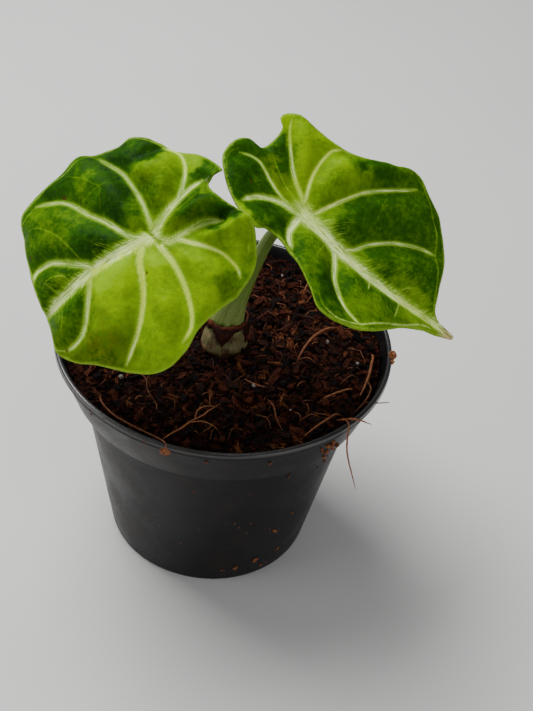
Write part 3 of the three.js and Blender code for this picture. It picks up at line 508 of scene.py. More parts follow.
class StemSettings(bpy.types.PropertyGroup):
    """Colours of the stem base, its dry scale and the stalks"""

    stem: colour("Stem base", "Cream of the stem base", (0.19, 0.175, 0.075))
    stem_stain: colour("Stain", "Brown stain near the soil", (0.10, 0.045, 0.022))
    scale: colour("Dry scale", "Brown of the papery scale", (0.034, 0.008, 0.003))
    stalk: colour("Stalk", "Pale green of the stalks", (0.15, 0.24, 0.03))
    stalk_foot: colour("Stalk foot", "Paler green at the foot of the stalks", (0.26, 0.33, 0.09))


class BladeSettings(bpy.types.PropertyGroup):
    """Sizes and colours of the leaf blades"""

    thickness: size("Thickness", "Thickness of the blade between its ribs", 0.6 * MM)
    rib: size("Rib", "How far the ribs stand out of the underside", 0.8 * MM)
    groove: size("Groove", "How deep the veins lie in the face", 0.14 * MM)
    deep_green: colour("Deep green", "Darkest tissue", (0.0055, 0.034, 0.0))
    green: colour("Green", "Ordinary green tissue", (0.021, 0.089, 0.0))
    lime: colour("Lime", "Variegated tissue", (0.135, 0.27, 0.0))
    bright_lime: colour("Bright lime", "Lightest variegated tissue", (0.225, 0.41, 0.0))
    yellowed: colour("Yellowed", "Yellow-brown tint of ageing tissue", (0.11, 0.14, 0.0))
    silver: colour("Silver", "Pale tissue on the veins", (0.84, 1.0, 0.41))
    dry: colour("Dry", "Tan of the dry drip tip", (0.72, 0.52, 0.31))
    underside: colour("Underside", "Paler green of the underside", (0.19, 0.31, 0.05))


class StageSettings(bpy.types.PropertyGroup):
    """Floor and light"""

    floor: colour("Floor", "Pale floor", (0.72, 0.71, 0.69))
    key: watts("Key light", "Power of the main soft light", 7.2)
    fill: watts("Fill light", "Power of the light that fills the shadows", 2.0)
    sky: share("Sky", "Strength of the even light all round", 0.25)


class PlantSettings(bpy.types.PropertyGroup):
    """Everything that a user would change"""

    pot: section(PotSettings, "Pot", "The nursery pot")
    soil: section(SoilSettings, "Soil", "The coir mix")
    stem: section(StemSettings, "Stem", "Stem base, scale and stalks")
    blade: section(BladeSettings, "Blades", "The two leaf blades")
    stage: section(StageSettings, "Stage", "Floor and light")


# Curves


def spline_piece(p0, p1, p2, p3, share_along):
    """A point of a centripetal Catmull-Rom curve between p1 and p2."""
    d0, d1, d2 = (max(float(np.sum((b - a) ** 2)) ** 0.25, 1e-4) for a, b in ((p0, p1), (p1, p2), (p2, p3)))
    leave = ((p1 - p0) / d0 - (p2 - p0) / (d0 + d1) + (p2 - p1) / d1) * d1
    arrive = ((p2 - p1) / d1 - (p3 - p1) / (d1 + d2) + (p3 - p2) / d2) * d1
    t = np.asarray(share_along)[:, None]
    return (
        p1 + leave * t
        + (-3 * p1 + 3 * p2 - 2 * leave - arrive) * t ** 2
        + (2 * p1 - 2 * p2 + leave + arrive) * t ** 3
    )


def smooth_line(points, steps):
    """An open curve through points, with so many steps between each two."""
    p = np.asarray(points, float)
    p = np.vstack([2 * p[0] - p[1], p, 2 * p[-1] - p[-2]])
    shares = np.arange(steps) / steps
    pieces = [spline_piece(*p[i:i + 4], shares) for i in range(len(p) - 3)]
    return np.vstack(pieces + [p[-2:-1]])


def smooth_loop(points, samples):
    """A closed curve through points, as so many samples spaced evenly by length."""
    p = np.asarray(points, float)
    n = len(p)
    shares = np.arange(40) / 40
    pieces = [spline_piece(p[i - 1], p[i], p[(i + 1) % n], p[(i + 2) % n], shares) for i in range(n)]
    closed = np.vstack([*pieces, pieces[0][:1]])
    length = np.concatenate([[0], np.cumsum(np.linalg.norm(np.diff(closed, axis=0), axis=1))])
    even = np.linspace(0, length[-1], samples, endpoint=False)
    return np.stack([np.interp(even, length, closed[:, k]) for k in range(p.shape[1])], axis=1)


def soften(loop, width):
    """A closed curve with ripples shorter than about width samples taken out."""
    fade = np.exp(-2 * (np.pi * np.fft.fftfreq(len(loop)) * width) ** 2)
    return np.fft.ifft(np.fft.fft(loop, axis=0) * fade[:, None], axis=0).real


def rounded(corners, steps=4):
    """A profile through corners (radius, height, fillet), with each fillet as an arc."""
    points = []
    for i, (r, z, fillet) in enumerate(corners):
        corner = np.array([r, z], float)
        if fillet == 0 or i in (0, len(corners) - 1):
            points.append(corner)
            continue
        before = np.array(corners[i - 1][:2], float) - corner
        after = np.array(corners[i + 1][:2], float) - corner
        reach = min(fillet, 0.45 * np.linalg.norm(before), 0.45 * np.linalg.norm(after))
        start = corner + before / np.linalg.norm(before) * reach
        end = corner + after / np.linalg.norm(after) * reach
        for t in np.linspace(0, 1, steps + 1):
            points.append((1 - t) ** 2 * start + 2 * t * (1 - t) * corner + t ** 2 * end)
    return np.array(points)


def smoothstep(low, high, values):
    """0 below low, 1 above high, and smooth between."""
    t = np.clip((values - low) / (high - low), 0, 1)
    return t * t * (3 - 2 * t)


def bell(gap, width):
    """1 where gap is 0, falling to about a third at width and to nothing beyond."""
    return np.exp(-((gap / width) ** 2))


def lumps(points, feature, seed=0):
    """Smooth noise of about -1 to 1 at each point, with lumps of that size."""
    shift = Vector((seed * 17.3, seed * 5.1, seed * 9.7))
    return np.array([noise.noise(Vector(p) / feature + shift) for p in np.asarray(points, float)])


def unit(vectors):
    """The vectors, each with length 1."""
    return vectors / np.linalg.norm(vectors, axis=-1, keepdims=True)


def bearings(columns):
    """So many angles evenly spaced round a circle."""
    return np.arange(columns) / columns * 2 * math.pi


def ring(angles, radius, z, middle=(0, 0)):
    """Points (x, y, z) round a middle, at the angles."""
    x, y = middle[0] + radius * np.cos(angles), middle[1] + radius * np.sin(angles)
    return np.stack([x, y, np.broadcast_to(z, x.shape)], axis=1)


# Meshes


def new_piece(name, points, faces, material=None, edges=()):
    """A mesh object at the origin, with smooth faces."""
    mesh = bpy.data.meshes.new(name)
    mesh.from_pydata(np.asarray(points).tolist(), edges, faces)
    mesh.shade_smooth()
    mesh.validate()
    piece = bpy.data.objects.new(name, mesh)
    bpy.context.scene.collection.objects.link(piece)
    if material:
        mesh.materials.append(material)
    return piece


def settle(piece, slot, *nodes):
    """The piece rides with the plant and stands for these nodes. slot is not used."""
    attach(piece, BODY)
    if nodes:
        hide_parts(*nodes)
    return piece


def skin(rows, columns, ends=True, loop=False):
    """Faces of a skin over rows of so many points, each row running round once. With ends, one more point
    before the rows and one after them close it. With loop, the last row joins the first."""
    first = 1 if ends and not loop else 0
    faces = []
    for row in range(rows if loop else rows - 1):
        a, b = first + row * columns, first + ((row + 1) % rows) * columns
        for column in range(columns):
            beside = (column + 1) % columns
            faces.append((a + column, a + beside, b + beside, b + column))
    if first:
        last = first + (rows - 1) * columns
        for column in range(columns):
            beside = (column + 1) % columns
            faces.append((0, first + beside, first + column))
            faces.append((last + columns, last + column, last + beside))
    return faces


def paint(mesh, name, values):
    """Writes a number or a vector for every point of a mesh."""
    values = np.asarray(values, np.float32)
    vector = values.ndim == 2
    layer = mesh.attributes.new(name, "FLOAT_VECTOR" if vector else "FLOAT", "POINT")
    layer.data.foreach_set("vector" if vector else "value", values.ravel())


def closed_piece(name, start, rows, end, material=None):
    """A closed skin over rows of points in mm, from the point start to the point end."""
    points = np.vstack([[start], *rows, [end]]) * MM
    return new_piece(name, points, skin(len(rows), len(rows[0])), material)


def wind(piece, start, rows, end):
    """Gives each point of a closed piece where it lies in mm: how far along, then the two ways across."""
    paint(piece.data, "stalk_place", np.vstack([[(start, 0, 0)], *rows, [(end, 0, 0)]]) * MM)


# Node trees


def pick(sockets, key):
    """The socket that is in use under that name, or the one with that number."""
    if isinstance(key, int):
        return sockets[key]
    return next(socket for socket in sockets if socket.name == key and socket.enabled)


def join(tree, value, target):
    """Links a socket or a node's first output to target, or sets target to a plain value."""
    if isinstance(value, bpy.types.Node):
        value = next(socket for socket in value.outputs if socket.enabled)
    if isinstance(value, bpy.types.NodeSocket):
        tree.links.new(value, target)
    else:
        target.default_value = value


def add(tree, kind, inputs=None, **settings):
    """A new node with its settings and inputs."""
    made = tree.nodes.new(kind)
    for name, value in settings.items():
        setattr(made, name, value)
    for key, value in (inputs or {}).items():
        join(tree, value, pick(made.inputs, key))
    return made


def calc(tree, operation, *values, clamp=False):
    """Arithmetic on numbers."""
    return add(tree, "ShaderNodeMath", dict(enumerate(values)), operation=operation, use_clamp=clamp)


def times(tree, a, b):
    """The product of two numbers."""
    return calc(tree, "MULTIPLY", a, b)


def total(tree, *terms, clamp=False):
    """The sum of numbers. A term that is a pair is a number and its weight."""
    first, *middle, last = (times(tree, *term) if isinstance(term, tuple) else term for term in terms)
    for term in middle:
        first = calc(tree, "ADD", first, term)
    return calc(tree, "ADD", first, last, clamp=clamp)


def swing(tree, value, reach):
    """A value of 0 to 1, as one that swings by half of reach to each side of 0."""
    return times(tree, calc(tree, "SUBTRACT", value, 0.5), reach)


def calc_vector(tree, operation, *values):
    """Arithmetic on vectors."""
    return add(tree, "ShaderNodeVectorMath", dict(enumerate(values)), operation=operation)


def scaled(tree, vector, factor):
    """A vector times a number."""
    return add(tree, "ShaderNodeVectorMath", {0: vector, "Scale": factor}, operation="SCALE")


def ramp(tree, value, low, high, to_low=0.0, to_high=1.0):
    """A smooth step of value from low to high."""
    inputs = {"Value": value, "From Min": low, "From Max": high, "To Min": to_low, "To Max": to_high}
    return add(tree, "ShaderNodeMapRange", inputs, interpolation_type="SMOOTHSTEP")


def mix(tree, factor, a, b):
    """A colour between a and b."""
    a, b = (side if isinstance(side, bpy.types.NodeSocket) else (*side, 1) for side in (a, b))
    made = add(tree, "ShaderNodeMix", {"Factor": factor, "A": a, "B": b}, data_type="RGBA")
    return pick(made.outputs, "Result")


def blend_ramp(tree, value, stops):
    """A colour ramp with stops (place, colour)."""
    made = add(tree, "ShaderNodeValToRGB", {"Fac": value})
    elements = made.color_ramp.elements
    while len(elements) < len(stops):
        elements.new(0.5)
    for element, (place, tint) in zip(elements, stops):
        element.position = place
        element.color = (*tint, 1)
    return pick(made.outputs, "Color")


def attribute(tree, name, output="Fac"):
    """An attribute that the mesh carries."""
    return pick(add(tree, "ShaderNodeAttribute", attribute_name=name).outputs, output)


def object_place(tree):
    """The place on the piece, in metres."""
    return pick(add(tree, "ShaderNodeTexCoord").outputs, "Object")


def upward(tree, vector):
    """The upward part of a place or a direction."""
    return add(tree, "ShaderNodeSeparateXYZ", {"Vector": vector}).outputs["Z"]


def grains(tree, place, scale, detail, roughness=0.5):
    """Noise with so many grains a metre."""
    inputs = {"Vector": place, "Scale": scale, "Detail": detail, "Roughness": roughness}
    return add(tree, "ShaderNodeTexNoise", inputs)


def cell_net(tree, place, scale, width):
    """1 on the net between so many cells a metre, 0 inside them."""
    inputs = {"Vector": place, "Scale": scale}
    cells = add(tree, "ShaderNodeTexVoronoi", inputs, feature="DISTANCE_TO_EDGE")
    return ramp(tree, cells, 0.0, width, 1.0, 0.0)


def new_group(name, family, inputs, output):
    """An empty node group with inputs (name, kind and perhaps a default) and one output (name, kind). Returns
    the group and its inputs, as sockets that nodes inside it can use."""
    tree = bpy.data.node_groups.new(name, family)
    for label, kind, *default in inputs:
        socket = tree.interface.new_socket(label, in_out="INPUT", socket_type=f"NodeSocket{kind}")
        if default:
            socket.default_value = default[0]
    label, kind = output
    tree.interface.new_socket(label, in_out="OUTPUT", socket_type=f"NodeSocket{kind}")
    return tree, tree.nodes.new("NodeGroupInput").outputs


def shader_group(name, output, *inputs):
    """An empty shader group with inputs (name, default) after the place that it works on."""
    sockets = [("Place", "Vector"), *((label, "Float", default) for label, default in inputs)]
    return new_group(name, "ShaderNodeTree", sockets, (output, "Float"))


def close_group(tree, value):
    """Feeds the one output of a group, and returns the group."""
    add(tree, "NodeGroupOutput", {0: value})
    return tree


def once(name, build):
    """A node group by that name, built the first time it is asked for."""
    return bpy.data.node_groups.get(name) or build(name)


# Effects that several materials share


def build_patches(name):
    """Cloudy patches of one size, from 0 to 1."""
    tree, given = shader_group(name, "Value", ("Size", MM), ("Detail", 3.0))
    scale = calc(tree, "DIVIDE", 1.0, given["Size"])
    cloud = grains(tree, given["Place"], scale, given["Detail"], 0.55)
    return close_group(tree, ramp(tree, cloud, 0.3, 0.7))


def build_streaks(name):
    """Streaks that are long one way and narrow the other, from 0 to 1."""
    tree, given = shader_group(name, "Value", ("Length", 4 * MM), ("Width", 0.3 * MM))
    lengthwise = calc(tree, "DIVIDE", 1.0, given["Length"])
    crosswise = calc(tree, "DIVIDE", 1.0, given["Width"])
    stretch = add(tree, "ShaderNodeCombineXYZ", {"X": lengthwise, "Y": crosswise, "Z": crosswise})
    streak = grains(tree, calc_vector(tree, "MULTIPLY", given["Place"], stretch), 1.0, 2.0, 0.6)
    return close_group(tree, ramp(tree, streak, 0.3, 0.7))


def build_dust(name):
    """Specks and a thin film that settle on what faces up."""
    tree, given = shader_group(name, "Mask", ("Amount", 0.5), ("Speck", 0.3 * MM))
    normal = add(tree, "ShaderNodeNewGeometry").outputs["Normal"]
    facing = ramp(tree, upward(tree, normal), -0.4, 1.0, 0.25, 1.0)
    speck = grains(tree, given["Place"], calc(tree, "DIVIDE", 1.0, given["Speck"]), 2.0)
    film = grains(tree, given["Place"], 90.0, 4.0)
    specks = times(tree, ramp(tree, speck, 0.62, 0.72), ramp(tree, film, 0.4, 0.6))
    cloud = ramp(tree, film, 0.45, 0.75, 0.0, 0.5)
    both = calc(tree, "MAXIMUM", specks, cloud)
    return close_group(tree, calc(tree, "MULTIPLY", times(tree, both, facing), given["Amount"], clamp=True))


def patches(tree, place, feature, detail=3.0):
    """Places the shared patches in a material."""
    return add(tree, "ShaderNodeGroup", {"Place": place, "Size": feature, "Detail": detail},
               node_tree=once("Patches", build_patches))


def streaks(tree, place, length, width):
    """Places the shared streaks in a material."""
    return add(tree, "ShaderNodeGroup", {"Place": place, "Length": length, "Width": width},
               node_tree=once("Streaks", build_streaks))


def dust(tree, place, amount, speck):
    """Places the shared dust in a material."""
    return add(tree, "ShaderNodeGroup", {"Place": place, "Amount": amount, "Speck": speck},
               node_tree=once("Dust", build_dust))


# Materials


def new_material(name, **constants):
    """A material with its Principled BSDF, and the values that are the same all over."""
    material = bpy.data.materials.get(name) or bpy.data.materials.new(name)
    material.use_nodes = True
    tree = material.node_tree
    shader = tree.nodes["Principled BSDF"]
    for label, value in constants.items():
        shader.inputs[label.replace("_", " ")].default_value = value
    return material, tree, shader


def feed_shader(tree, shader, tint, roughness, height=None, distance=0.0, strength=1.0):
    """Feeds the shader a colour and a roughness, and a height that it shows by its normals."""
    join(tree, tint, shader.inputs["Base Color"])
    join(tree, roughness, shader.inputs["Roughness"])
    if height is not None:
        relief = add(tree, "ShaderNodeBump", {"Height": height, "Distance": distance, "Strength": strength})
        join(tree, relief, shader.inputs["Normal"])


def plastic_material(pot):
    """Black satin plastic with a fine moulded grain, faint scuffs, some dry dust and a polished rim."""
    material, tree, shader = new_material("pot_plastic", Specular_IOR_Level=0.2, Coat_Roughness=0.22)
    place = object_place(tree)
    film = dust(tree, place, 0.5, 0.45 * MM)
    scuffs = streaks(tree, place, 9 * MM, 0.5 * MM)
    cloud = patches(tree, place, 12 * MM)
    tint = mix(tree, film, pot.plastic, pot.dust)
    gloss = total(tree, ramp(tree, cloud, 0, 1, 0.34, 0.44), (scuffs, 0.07), (film, 0.35))
    height = total(tree, (grains(tree, place, 3200.0, 2.0), 0.12), grains(tree, place, 70.0, 1.0))
    feed_shader(tree, shader, tint, gloss, height, 0.15 * MM, 0.35)
    polished = ramp(tree, upward(tree, place), pot.height - 1.2 * MM, pot.height - 0.5 * MM)
    join(tree, polished, shader.inputs["Coat Weight"])
    return material


def soil_material(soil):
    """Damp coir between the chips."""
    material, tree, shader = new_material("coir_ground", Specular_IOR_Level=0.1)
    place = object_place(tree)
    clumps = patches(tree, place, 2.2 * MM, 4.0)
    fine = patches(tree, place, 0.5 * MM, 3.0)
    tint = blend_ramp(tree, times(tree, clumps, fine), [(0.0, soil.dark), (1.0, soil.brown)])
    roughness = ramp(tree, fine, 0, 1, 0.95, 0.7)
    feed_shader(tree, shader, tint, roughness, total(tree, clumps, fine), 0.6 * MM, 0.9)
    return material


def chip_material(soil):
    """Coir chips: each its own shade, with the grain along the chip."""
    material, tree, shader = new_material("coir_chip", Specular_IOR_Level=0.13)
    place = attribute(tree, "chip_place", "Vector")
    grain = streaks(tree, place, 1.1, 0.12)
    pits = patches(tree, place, 0.25)
    tone = total(tree, (attribute(tree, "shade"), 0.75), (grain, 0.28))
    stops = [(0.0, soil.dark), (0.42, soil.dark), (0.72, soil.brown), (0.9, soil.brown), (1.0, soil.tan)]
    tint = mix(tree, times(tree, pits, 0.35), blend_ramp(tree, tone, stops), soil.dark)
    roughness = ramp(tree, grain, 0, 1, 0.85, 0.6)
    feed_shader(tree, shader, tint, roughness, total(tree, grain, pits), 0.25 * MM, 0.8)
    return material


def fibre_material(soil):
    """Coir fibres, from red-brown to tan."""
    material, tree, shader = new_material("coir_fibre", Specular_IOR_Level=0.3)
    spots = patches(tree, object_place(tree), 0.6 * MM)
    tone = total(tree, (attribute(tree, "shade"), 0.8), (spots, 0.3))
    tint = blend_ramp(tree, tone, [(0.0, soil.dark), (0.35, soil.brown), (1.0, soil.tan)])
    feed_shader(tree, shader, tint, ramp(tree, spots, 0, 1, 0.7, 0.5), spots, 0.1 * MM, 0.6)
    return material


def perlite_material(soil):
    """White porous grains, stained by the coir."""
    material, tree, shader = new_material("perlite", Specular_IOR_Level=0.3)
    place = object_place(tree)
    stain = patches(tree, place, 0.7 * MM)
    pores = patches(tree, place, 0.18 * MM)
    tint = mix(tree, times(tree, stain, 0.7), soil.perlite, soil.brown)
    feed_shader(tree, shader, tint, 0.85, pores, 0.15 * MM, 0.9)
    return material


def stem_material(stem):
    """Cream stem base with fibrous lines, stained brown towards the soil."""
    material, tree, shader = new_material(
        "stem_base", Specular_IOR_Level=0.2, Subsurface_Weight=0.1,
        Subsurface_Radius=(1.2 * MM, 0.8 * MM, 0.4 * MM),
    )
    place = object_place(tree)
    lines = streaks(tree, attribute(tree, "stalk_place", "Vector"), 5 * MM, 0.35 * MM)
    cloud = patches(tree, place, 2.4 * MM, 4.0)
    low = ramp(tree, upward(tree, place), 62.0 * MM, 58.0 * MM)
    stain = ramp(tree, total(tree, (low, 0.8), (cloud, 0.8), (lines, -0.35)), 0.05, 0.75, 0.1, 1.0)
    tint = mix(tree, stain, stem.stem, stem.stem_stain)
    roughness = ramp(tree, lines, 0, 1, 0.75, 0.55)
    feed_shader(tree, shader, tint, roughness, total(tree, lines, cloud), 0.35 * MM, 0.7)
    return material


def scale_material(stem):
    """Dry papery scale with fine lines down it and a rusty upper edge."""
    material, tree, shader = new_material("dry_scale", Specular_IOR_Level=0.2)
    place = object_place(tree)
    lines = streaks(tree, attribute(tree, "stalk_place", "Vector"), 6 * MM, 0.25 * MM)
    cloud = patches(tree, place, 1.4 * MM)
    tone = total(tree, (lines, 0.6), (cloud, 0.4))
    dark, pale, rust = (tuple(min(1, gain * c) for c in stem.scale) for gain in (0.28, 2.1, 5))
    tint = blend_ramp(tree, tone, [(0.1, dark), (0.55, stem.scale), (1.0, pale)])
    upper = ramp(tree, upward(tree, place), (SCALE_TOP - 1.0) * MM, (SCALE_TOP - 0.1) * MM, 0.0, 0.8)
    rusty = times(tree, upper, ramp(tree, cloud, 0.2, 0.7, 0.35, 1.0))
    roughness = ramp(tree, lines, 0, 1, 0.75, 0.5)
    feed_shader(tree, shader, mix(tree, rusty, tint, rust), roughness, tone, 0.2 * MM, 0.8)
    return material


def stalk_material(stem):
    """Smooth waxy stalk with faint lines along it and small darker flecks."""
    material, tree, shader = new_material(
        "stalk", Specular_IOR_Level=0.35, Coat_Weight=0.08, Coat_Roughness=0.3, Subsurface_Weight=0.12,
        Subsurface_Radius=(1.0 * MM, 1.2 * MM, 0.3 * MM),
    )
    place = object_place(tree)
    wound = attribute(tree, "stalk_place", "Vector")
    lines = streaks(tree, wound, 9 * MM, 0.28 * MM)
    flecks = streaks(tree, wound, 1.3 * MM, 0.4 * MM)
    cloud = patches(tree, place, 5 * MM)
    foot = ramp(tree, upward(tree, place), 80 * MM, 70 * MM)
    tint = mix(tree, foot, stem.stalk, stem.stalk_foot)
    dark = tuple(0.55 * c for c in stem.stalk)
    fleck = ramp(tree, flecks, 0.62, 0.95)
    shadow = total(tree, (fleck, 0.35), (lines, 0.22), (cloud, 0.15), clamp=True)
    roughness = ramp(tree, cloud, 0, 1, 0.34, 0.46)
    feed_shader(tree, shader, mix(tree, shadow, tint, dark), roughness, lines, 0.08 * MM, 0.5)
    return material


def tissue_colour(tree, blade, clouds, mottle, feather, net):
    """Green and lime tissue with a yellow tint here and there."""
    tone = total(
        tree, attribute(tree, "tissue"), swing(tree, clouds, 0.17), swing(tree, mottle, 0.16),
        swing(tree, feather, 0.04), (net, 0.05),
    )
    tissue = blend_ramp(tree, tone, [
        (0.0, blade.deep_green), (0.30, blade.green), (0.70, blade.lime), (1.0, blade.bright_lime),
    ])
    warm = times(tree, attribute(tree, "yellowing"), ramp(tree, mottle, 0, 1, 0.2, 0.9))
    return mix(tree, warm, tissue, blade.yellowed)


def silver_colour(tree, blade, threads, clouds):
    """Silver of the veins: threads painted light, as painted highlights, over washed-out ones, and turned
    lime where the tissue is lime.
    """
    red, green, blue = blade.silver
    # Painted highlight: the silver is painted lighter along its threads and where the vein is strongest
    grain_and_painted_highlight = total(
        tree, ramp(tree, threads, 0.15, 0.7), ramp(tree, attribute(tree, "vein"), 0.3, 0.9, -0.3, 0.16),
        ramp(tree, clouds, 0, 1, -0.15, 0.15), clamp=True,
    )
    pale = mix(tree, grain_and_painted_highlight, (0.20 * red, 0.33 * green, 0.15 * blue), blade.silver)
    lime = ramp(tree, attribute(tree, "tissue"), 0.3, 0.9, 0.12, 0.85)
    return mix(tree, lime, pale, (0.74 * red, 0.80 * green, 0.12 * blue))


def face_material(blade):
    """Upper side of a blade: variegated tissue, feathered silver on the veins with painted highlights along
    its threads, and a lime edge.
    """
    material, tree, shader = new_material(
        "blade_face", Specular_IOR_Level=0.1, IOR=1.3, Subsurface_Weight=0.05,
        Subsurface_Radius=BLADE_SUBSURFACE,
    )
    place = object_place(tree)
    flow = attribute(tree, "vein_flow", "Vector")
    feather = streaks(tree, flow, 0.3 * MM, 2.4 * MM)
    threads = streaks(tree, flow, 5 * MM, 0.34 * MM)
    clouds = patches(tree, place, 3.4 * MM, 4.0)
    mottle = patches(tree, place, 1.1 * MM, 4.0)
    net = cell_net(tree, place, 1050.0, 0.12)
    hint_of_silver = mix(tree, 0.08, blade.bright_lime, blade.silver)
    tint = tissue_colour(tree, blade, clouds, mottle, feather, net)

    ragged = swing(tree, feather, attribute(tree, "fray"))
    wide = total(tree, attribute(tree, "halo"), (ragged, 0.28))
    glow = times(tree, ramp(tree, wide, 0.2, 1.0, 0.0, 0.7), ramp(tree, clouds, 0, 1, 0.5, 1.0))
    tint = mix(tree, glow, tint, mix(tree, 0.6, blade.lime, blade.bright_lime))
    fine_vein = times(tree, attribute(tree, "veinlet"), ramp(tree, mottle, 0, 1, 0.85, 1.1))
    fine_vein = ramp(tree, fine_vein, 0.06, 0.62, 0.0, 0.8)
    whiter = ramp(tree, fine_vein, 0.3, 0.8, 0.0, 0.55)
    tint = mix(tree, fine_vein, tint, mix(tree, whiter, blade.bright_lime, blade.silver))
    edge = total(tree, attribute(tree, "edge_gap"), (mottle, 0.5 * MM))
    tint = mix(tree, ramp(tree, edge, 0.15 * MM, 0.95 * MM, 0.65, 0.0), tint, hint_of_silver)

    narrow = total(tree, attribute(tree, "vein"), (ragged, 0.5))
    tint = mix(tree, ramp(tree, narrow, 0.03, 0.42, 0.0, 0.6), tint, hint_of_silver)
    silver = ramp(tree, narrow, 0.2, 0.8, 0.0, 0.95)
    tint = mix(tree, silver, tint, silver_colour(tree, blade, threads, clouds))
    tint = mix(tree, attribute(tree, "dryness"), tint, blade.dry)
    tint = mix(tree, times(tree, attribute(tree, "speck"), 0.9), tint, SPECK_BROWN)

    gloss = total(tree, ramp(tree, mottle, 0, 1, 0.46, 0.58), (silver, 0.08))
    pebbles = grains(tree, place, 3600.0, 2.0)
    relief = total(tree, pebbles, (net, -0.5), (mottle, 0.8), (times(tree, threads, silver), 1.2))
    feed_shader(tree, shader, tint, gloss, relief, 0.1 * MM, 0.6)
    return material


def underside_material(blade):
    """Lower side of a blade: paler and duller, with pale ribs."""
    material, tree, shader = new_material(
        "blade_underside", Specular_IOR_Level=0.35, Subsurface_Weight=0.06,
        Subsurface_Radius=BLADE_SUBSURFACE,
    )
    place = object_place(tree)
    mottle = patches(tree, place, 1.1 * MM, 3.0)
    clouds = patches(tree, place, 4 * MM, 3.0)
    net = cell_net(tree, place, 1000.0, 0.14)
    tone = total(tree, attribute(tree, "tissue"), swing(tree, clouds, 0.3))
    dark = tuple(0.42 * c for c in blade.underside)
    lime = tuple(0.5 * a + 0.55 * b for a, b in zip(blade.underside, blade.lime))
    tint = blend_ramp(tree, tone, [(0.0, dark), (0.5, blade.underside), (1.0, lime)])
    tint = mix(tree, times(tree, mottle, 0.25), tint, dark)
    tint = mix(tree, times(tree, net, 0.25), tint, blade.underside)
    tint = mix(tree, ramp(tree, attribute(tree, "vein"), 0.15, 0.7, 0.0, 0.85), tint, RIB_GREEN)
    rim = ramp(tree, attribute(tree, "edge_gap"), 0.2 * MM, 0.8 * MM, 0.7, 0.0)
    tint = mix(tree, rim, tint, mix(tree, 0.12, blade.bright_lime, blade.silver))
    tint = mix(tree, attribute(tree, "dryness"), tint, blade.dry)
    roughness = ramp(tree, mottle, 0, 1, 0.5, 0.62)
    feed_shader(tree, shader, tint, roughness, total(tree, net, mottle), 0.08 * MM, 0.6)
    return material


def floor_material(stage):
    """Pale matt floor with the least unevenness."""
    material, tree, shader = new_material("pale_floor", Specular_IOR_Level=0.2)
    cloud = patches(tree, object_place(tree), 0.12, 2.0)
    dim = tuple(0.97 * c for c in stage.floor)
    feed_shader(tree, shader, mix(tree, cloud, stage.floor, dim), 0.8)
    return material


# Geometry node trees for what repeats or follows a path


def geometry_group(name, *inputs):
    """An empty group that makes geometry, with these inputs and a material."""
    inputs = [*inputs, ("Material", "Material")]
    return new_group(name, "GeometryNodeTree", inputs, ("Geometry", "Geometry"))


def close_geometry(tree, geometry, given):
    """Ends a group with its instances made real and its material set."""
    real = add(tree, "GeometryNodeRealizeInstances", {"Geometry": geometry})
    inputs = {"Geometry": real, "Material": given["Material"]}
    return close_group(tree, add(tree, "GeometryNodeSetMaterial", inputs))


def random_value(tree, given, draw, low, high, kind="FLOAT"):
    """A random value for each element. draw shifts the group's seed, so that no two draws are alike."""
    seed = calc(tree, "ADD", given["Seed"], float(draw))
    made = add(tree, "FunctionNodeRandomValue", {"Min": low, "Max": high, "Seed": seed}, data_type=kind)
    return pick(made.outputs, "Value")


def bed_points(tree, given, densest):
    """Points strewn over the bed, none closer to another than the spacing."""
    inputs = {
        "Mesh": given["Bed"], "Distance Min": given["Spacing"], "Density Max": densest, "Seed": given["Seed"],
    }
    return add(tree, "GeometryNodeDistributePointsOnFaces", inputs, distribute_method="POISSON")


def roughened(tree, geometry, place, scale, detail, reach):
    """Geometry whose points are moved by noise, by up to half of reach each way."""
    shake = grains(tree, place, scale, detail).outputs["Color"]
    offset = scaled(tree, calc_vector(tree, "SUBTRACT", shake, (0.5, 0.5, 0.5)), reach)
    return add(tree, "GeometryNodeSetPosition", {"Geometry": geometry, "Offset": offset})


def smooth_faces(tree, geometry):
    """Geometry with smooth faces."""
    return add(tree, "GeometryNodeSetShadeSmooth", {"Geometry": geometry, "Shade Smooth": True})


def radius_here(tree):
    """The radius that each point carries."""
    read = add(tree, "GeometryNodeInputNamedAttribute", {"Name": "radius_here"}, data_type="FLOAT")
    return pick(read.outputs, "Attribute")


def strew(tree, points, shape, turn, extent, shade, choice=None):
    """A shape on each point, turned and sized, with its own shade. choice picks one of several shapes."""
    inputs = {
        "Points": points, "Instance": shape, "Scale": extent,
        "Rotation": add(tree, "FunctionNodeEulerToRotation", {"Euler": turn}),
    }
    if choice is not None:
        inputs |= {"Pick Instance": True, "Instance Index": choice}
    return store(tree, add(tree, "GeometryNodeInstanceOnPoints", inputs), "shade", shade, "INSTANCE")


def tube(tree, line, sides, radius, thickness):
    """A capped tube along a line, with a radius that thickness scales from place to place."""
    section = add(tree, "GeometryNodeCurvePrimitiveCircle", {"Resolution": sides, "Radius": radius})
    inputs = {"Curve": line, "Profile Curve": section, "Scale": thickness, "Fill Caps": True}
    return add(tree, "GeometryNodeCurveToMesh", inputs)


def store(tree, geometry, name, value, domain="POINT", data_type="FLOAT"):
    """Keeps a value on the geometry under a name."""
    return add(tree, "GeometryNodeStoreNamedAttribute", {"Geometry": geometry, "Name": name, "Value": value},
               domain=domain, data_type=data_type)


def ragged_shapes(tree, blank, given, number):
    """So many ragged versions of a shape. Each keeps a place for its points that no other version has."""
    shapes = add(tree, "GeometryNodeJoinGeometry")
    place = add(tree, "GeometryNodeInputPosition")
    for seed in range(number):
        shifted = calc_vector(tree, "ADD", place, (seed * 3.7, seed * 1.9, seed * 5.3))
        shape = roughened(tree, blank, shifted, 1.7, 2.0, given["Ragged"])
        kept = store(tree, shape, "chip_place", shifted, data_type="FLOAT_VECTOR")
        join(tree, add(tree, "GeometryNodeGeometryToInstance", {"Geometry": kept}), shapes.inputs[0])
    return shapes


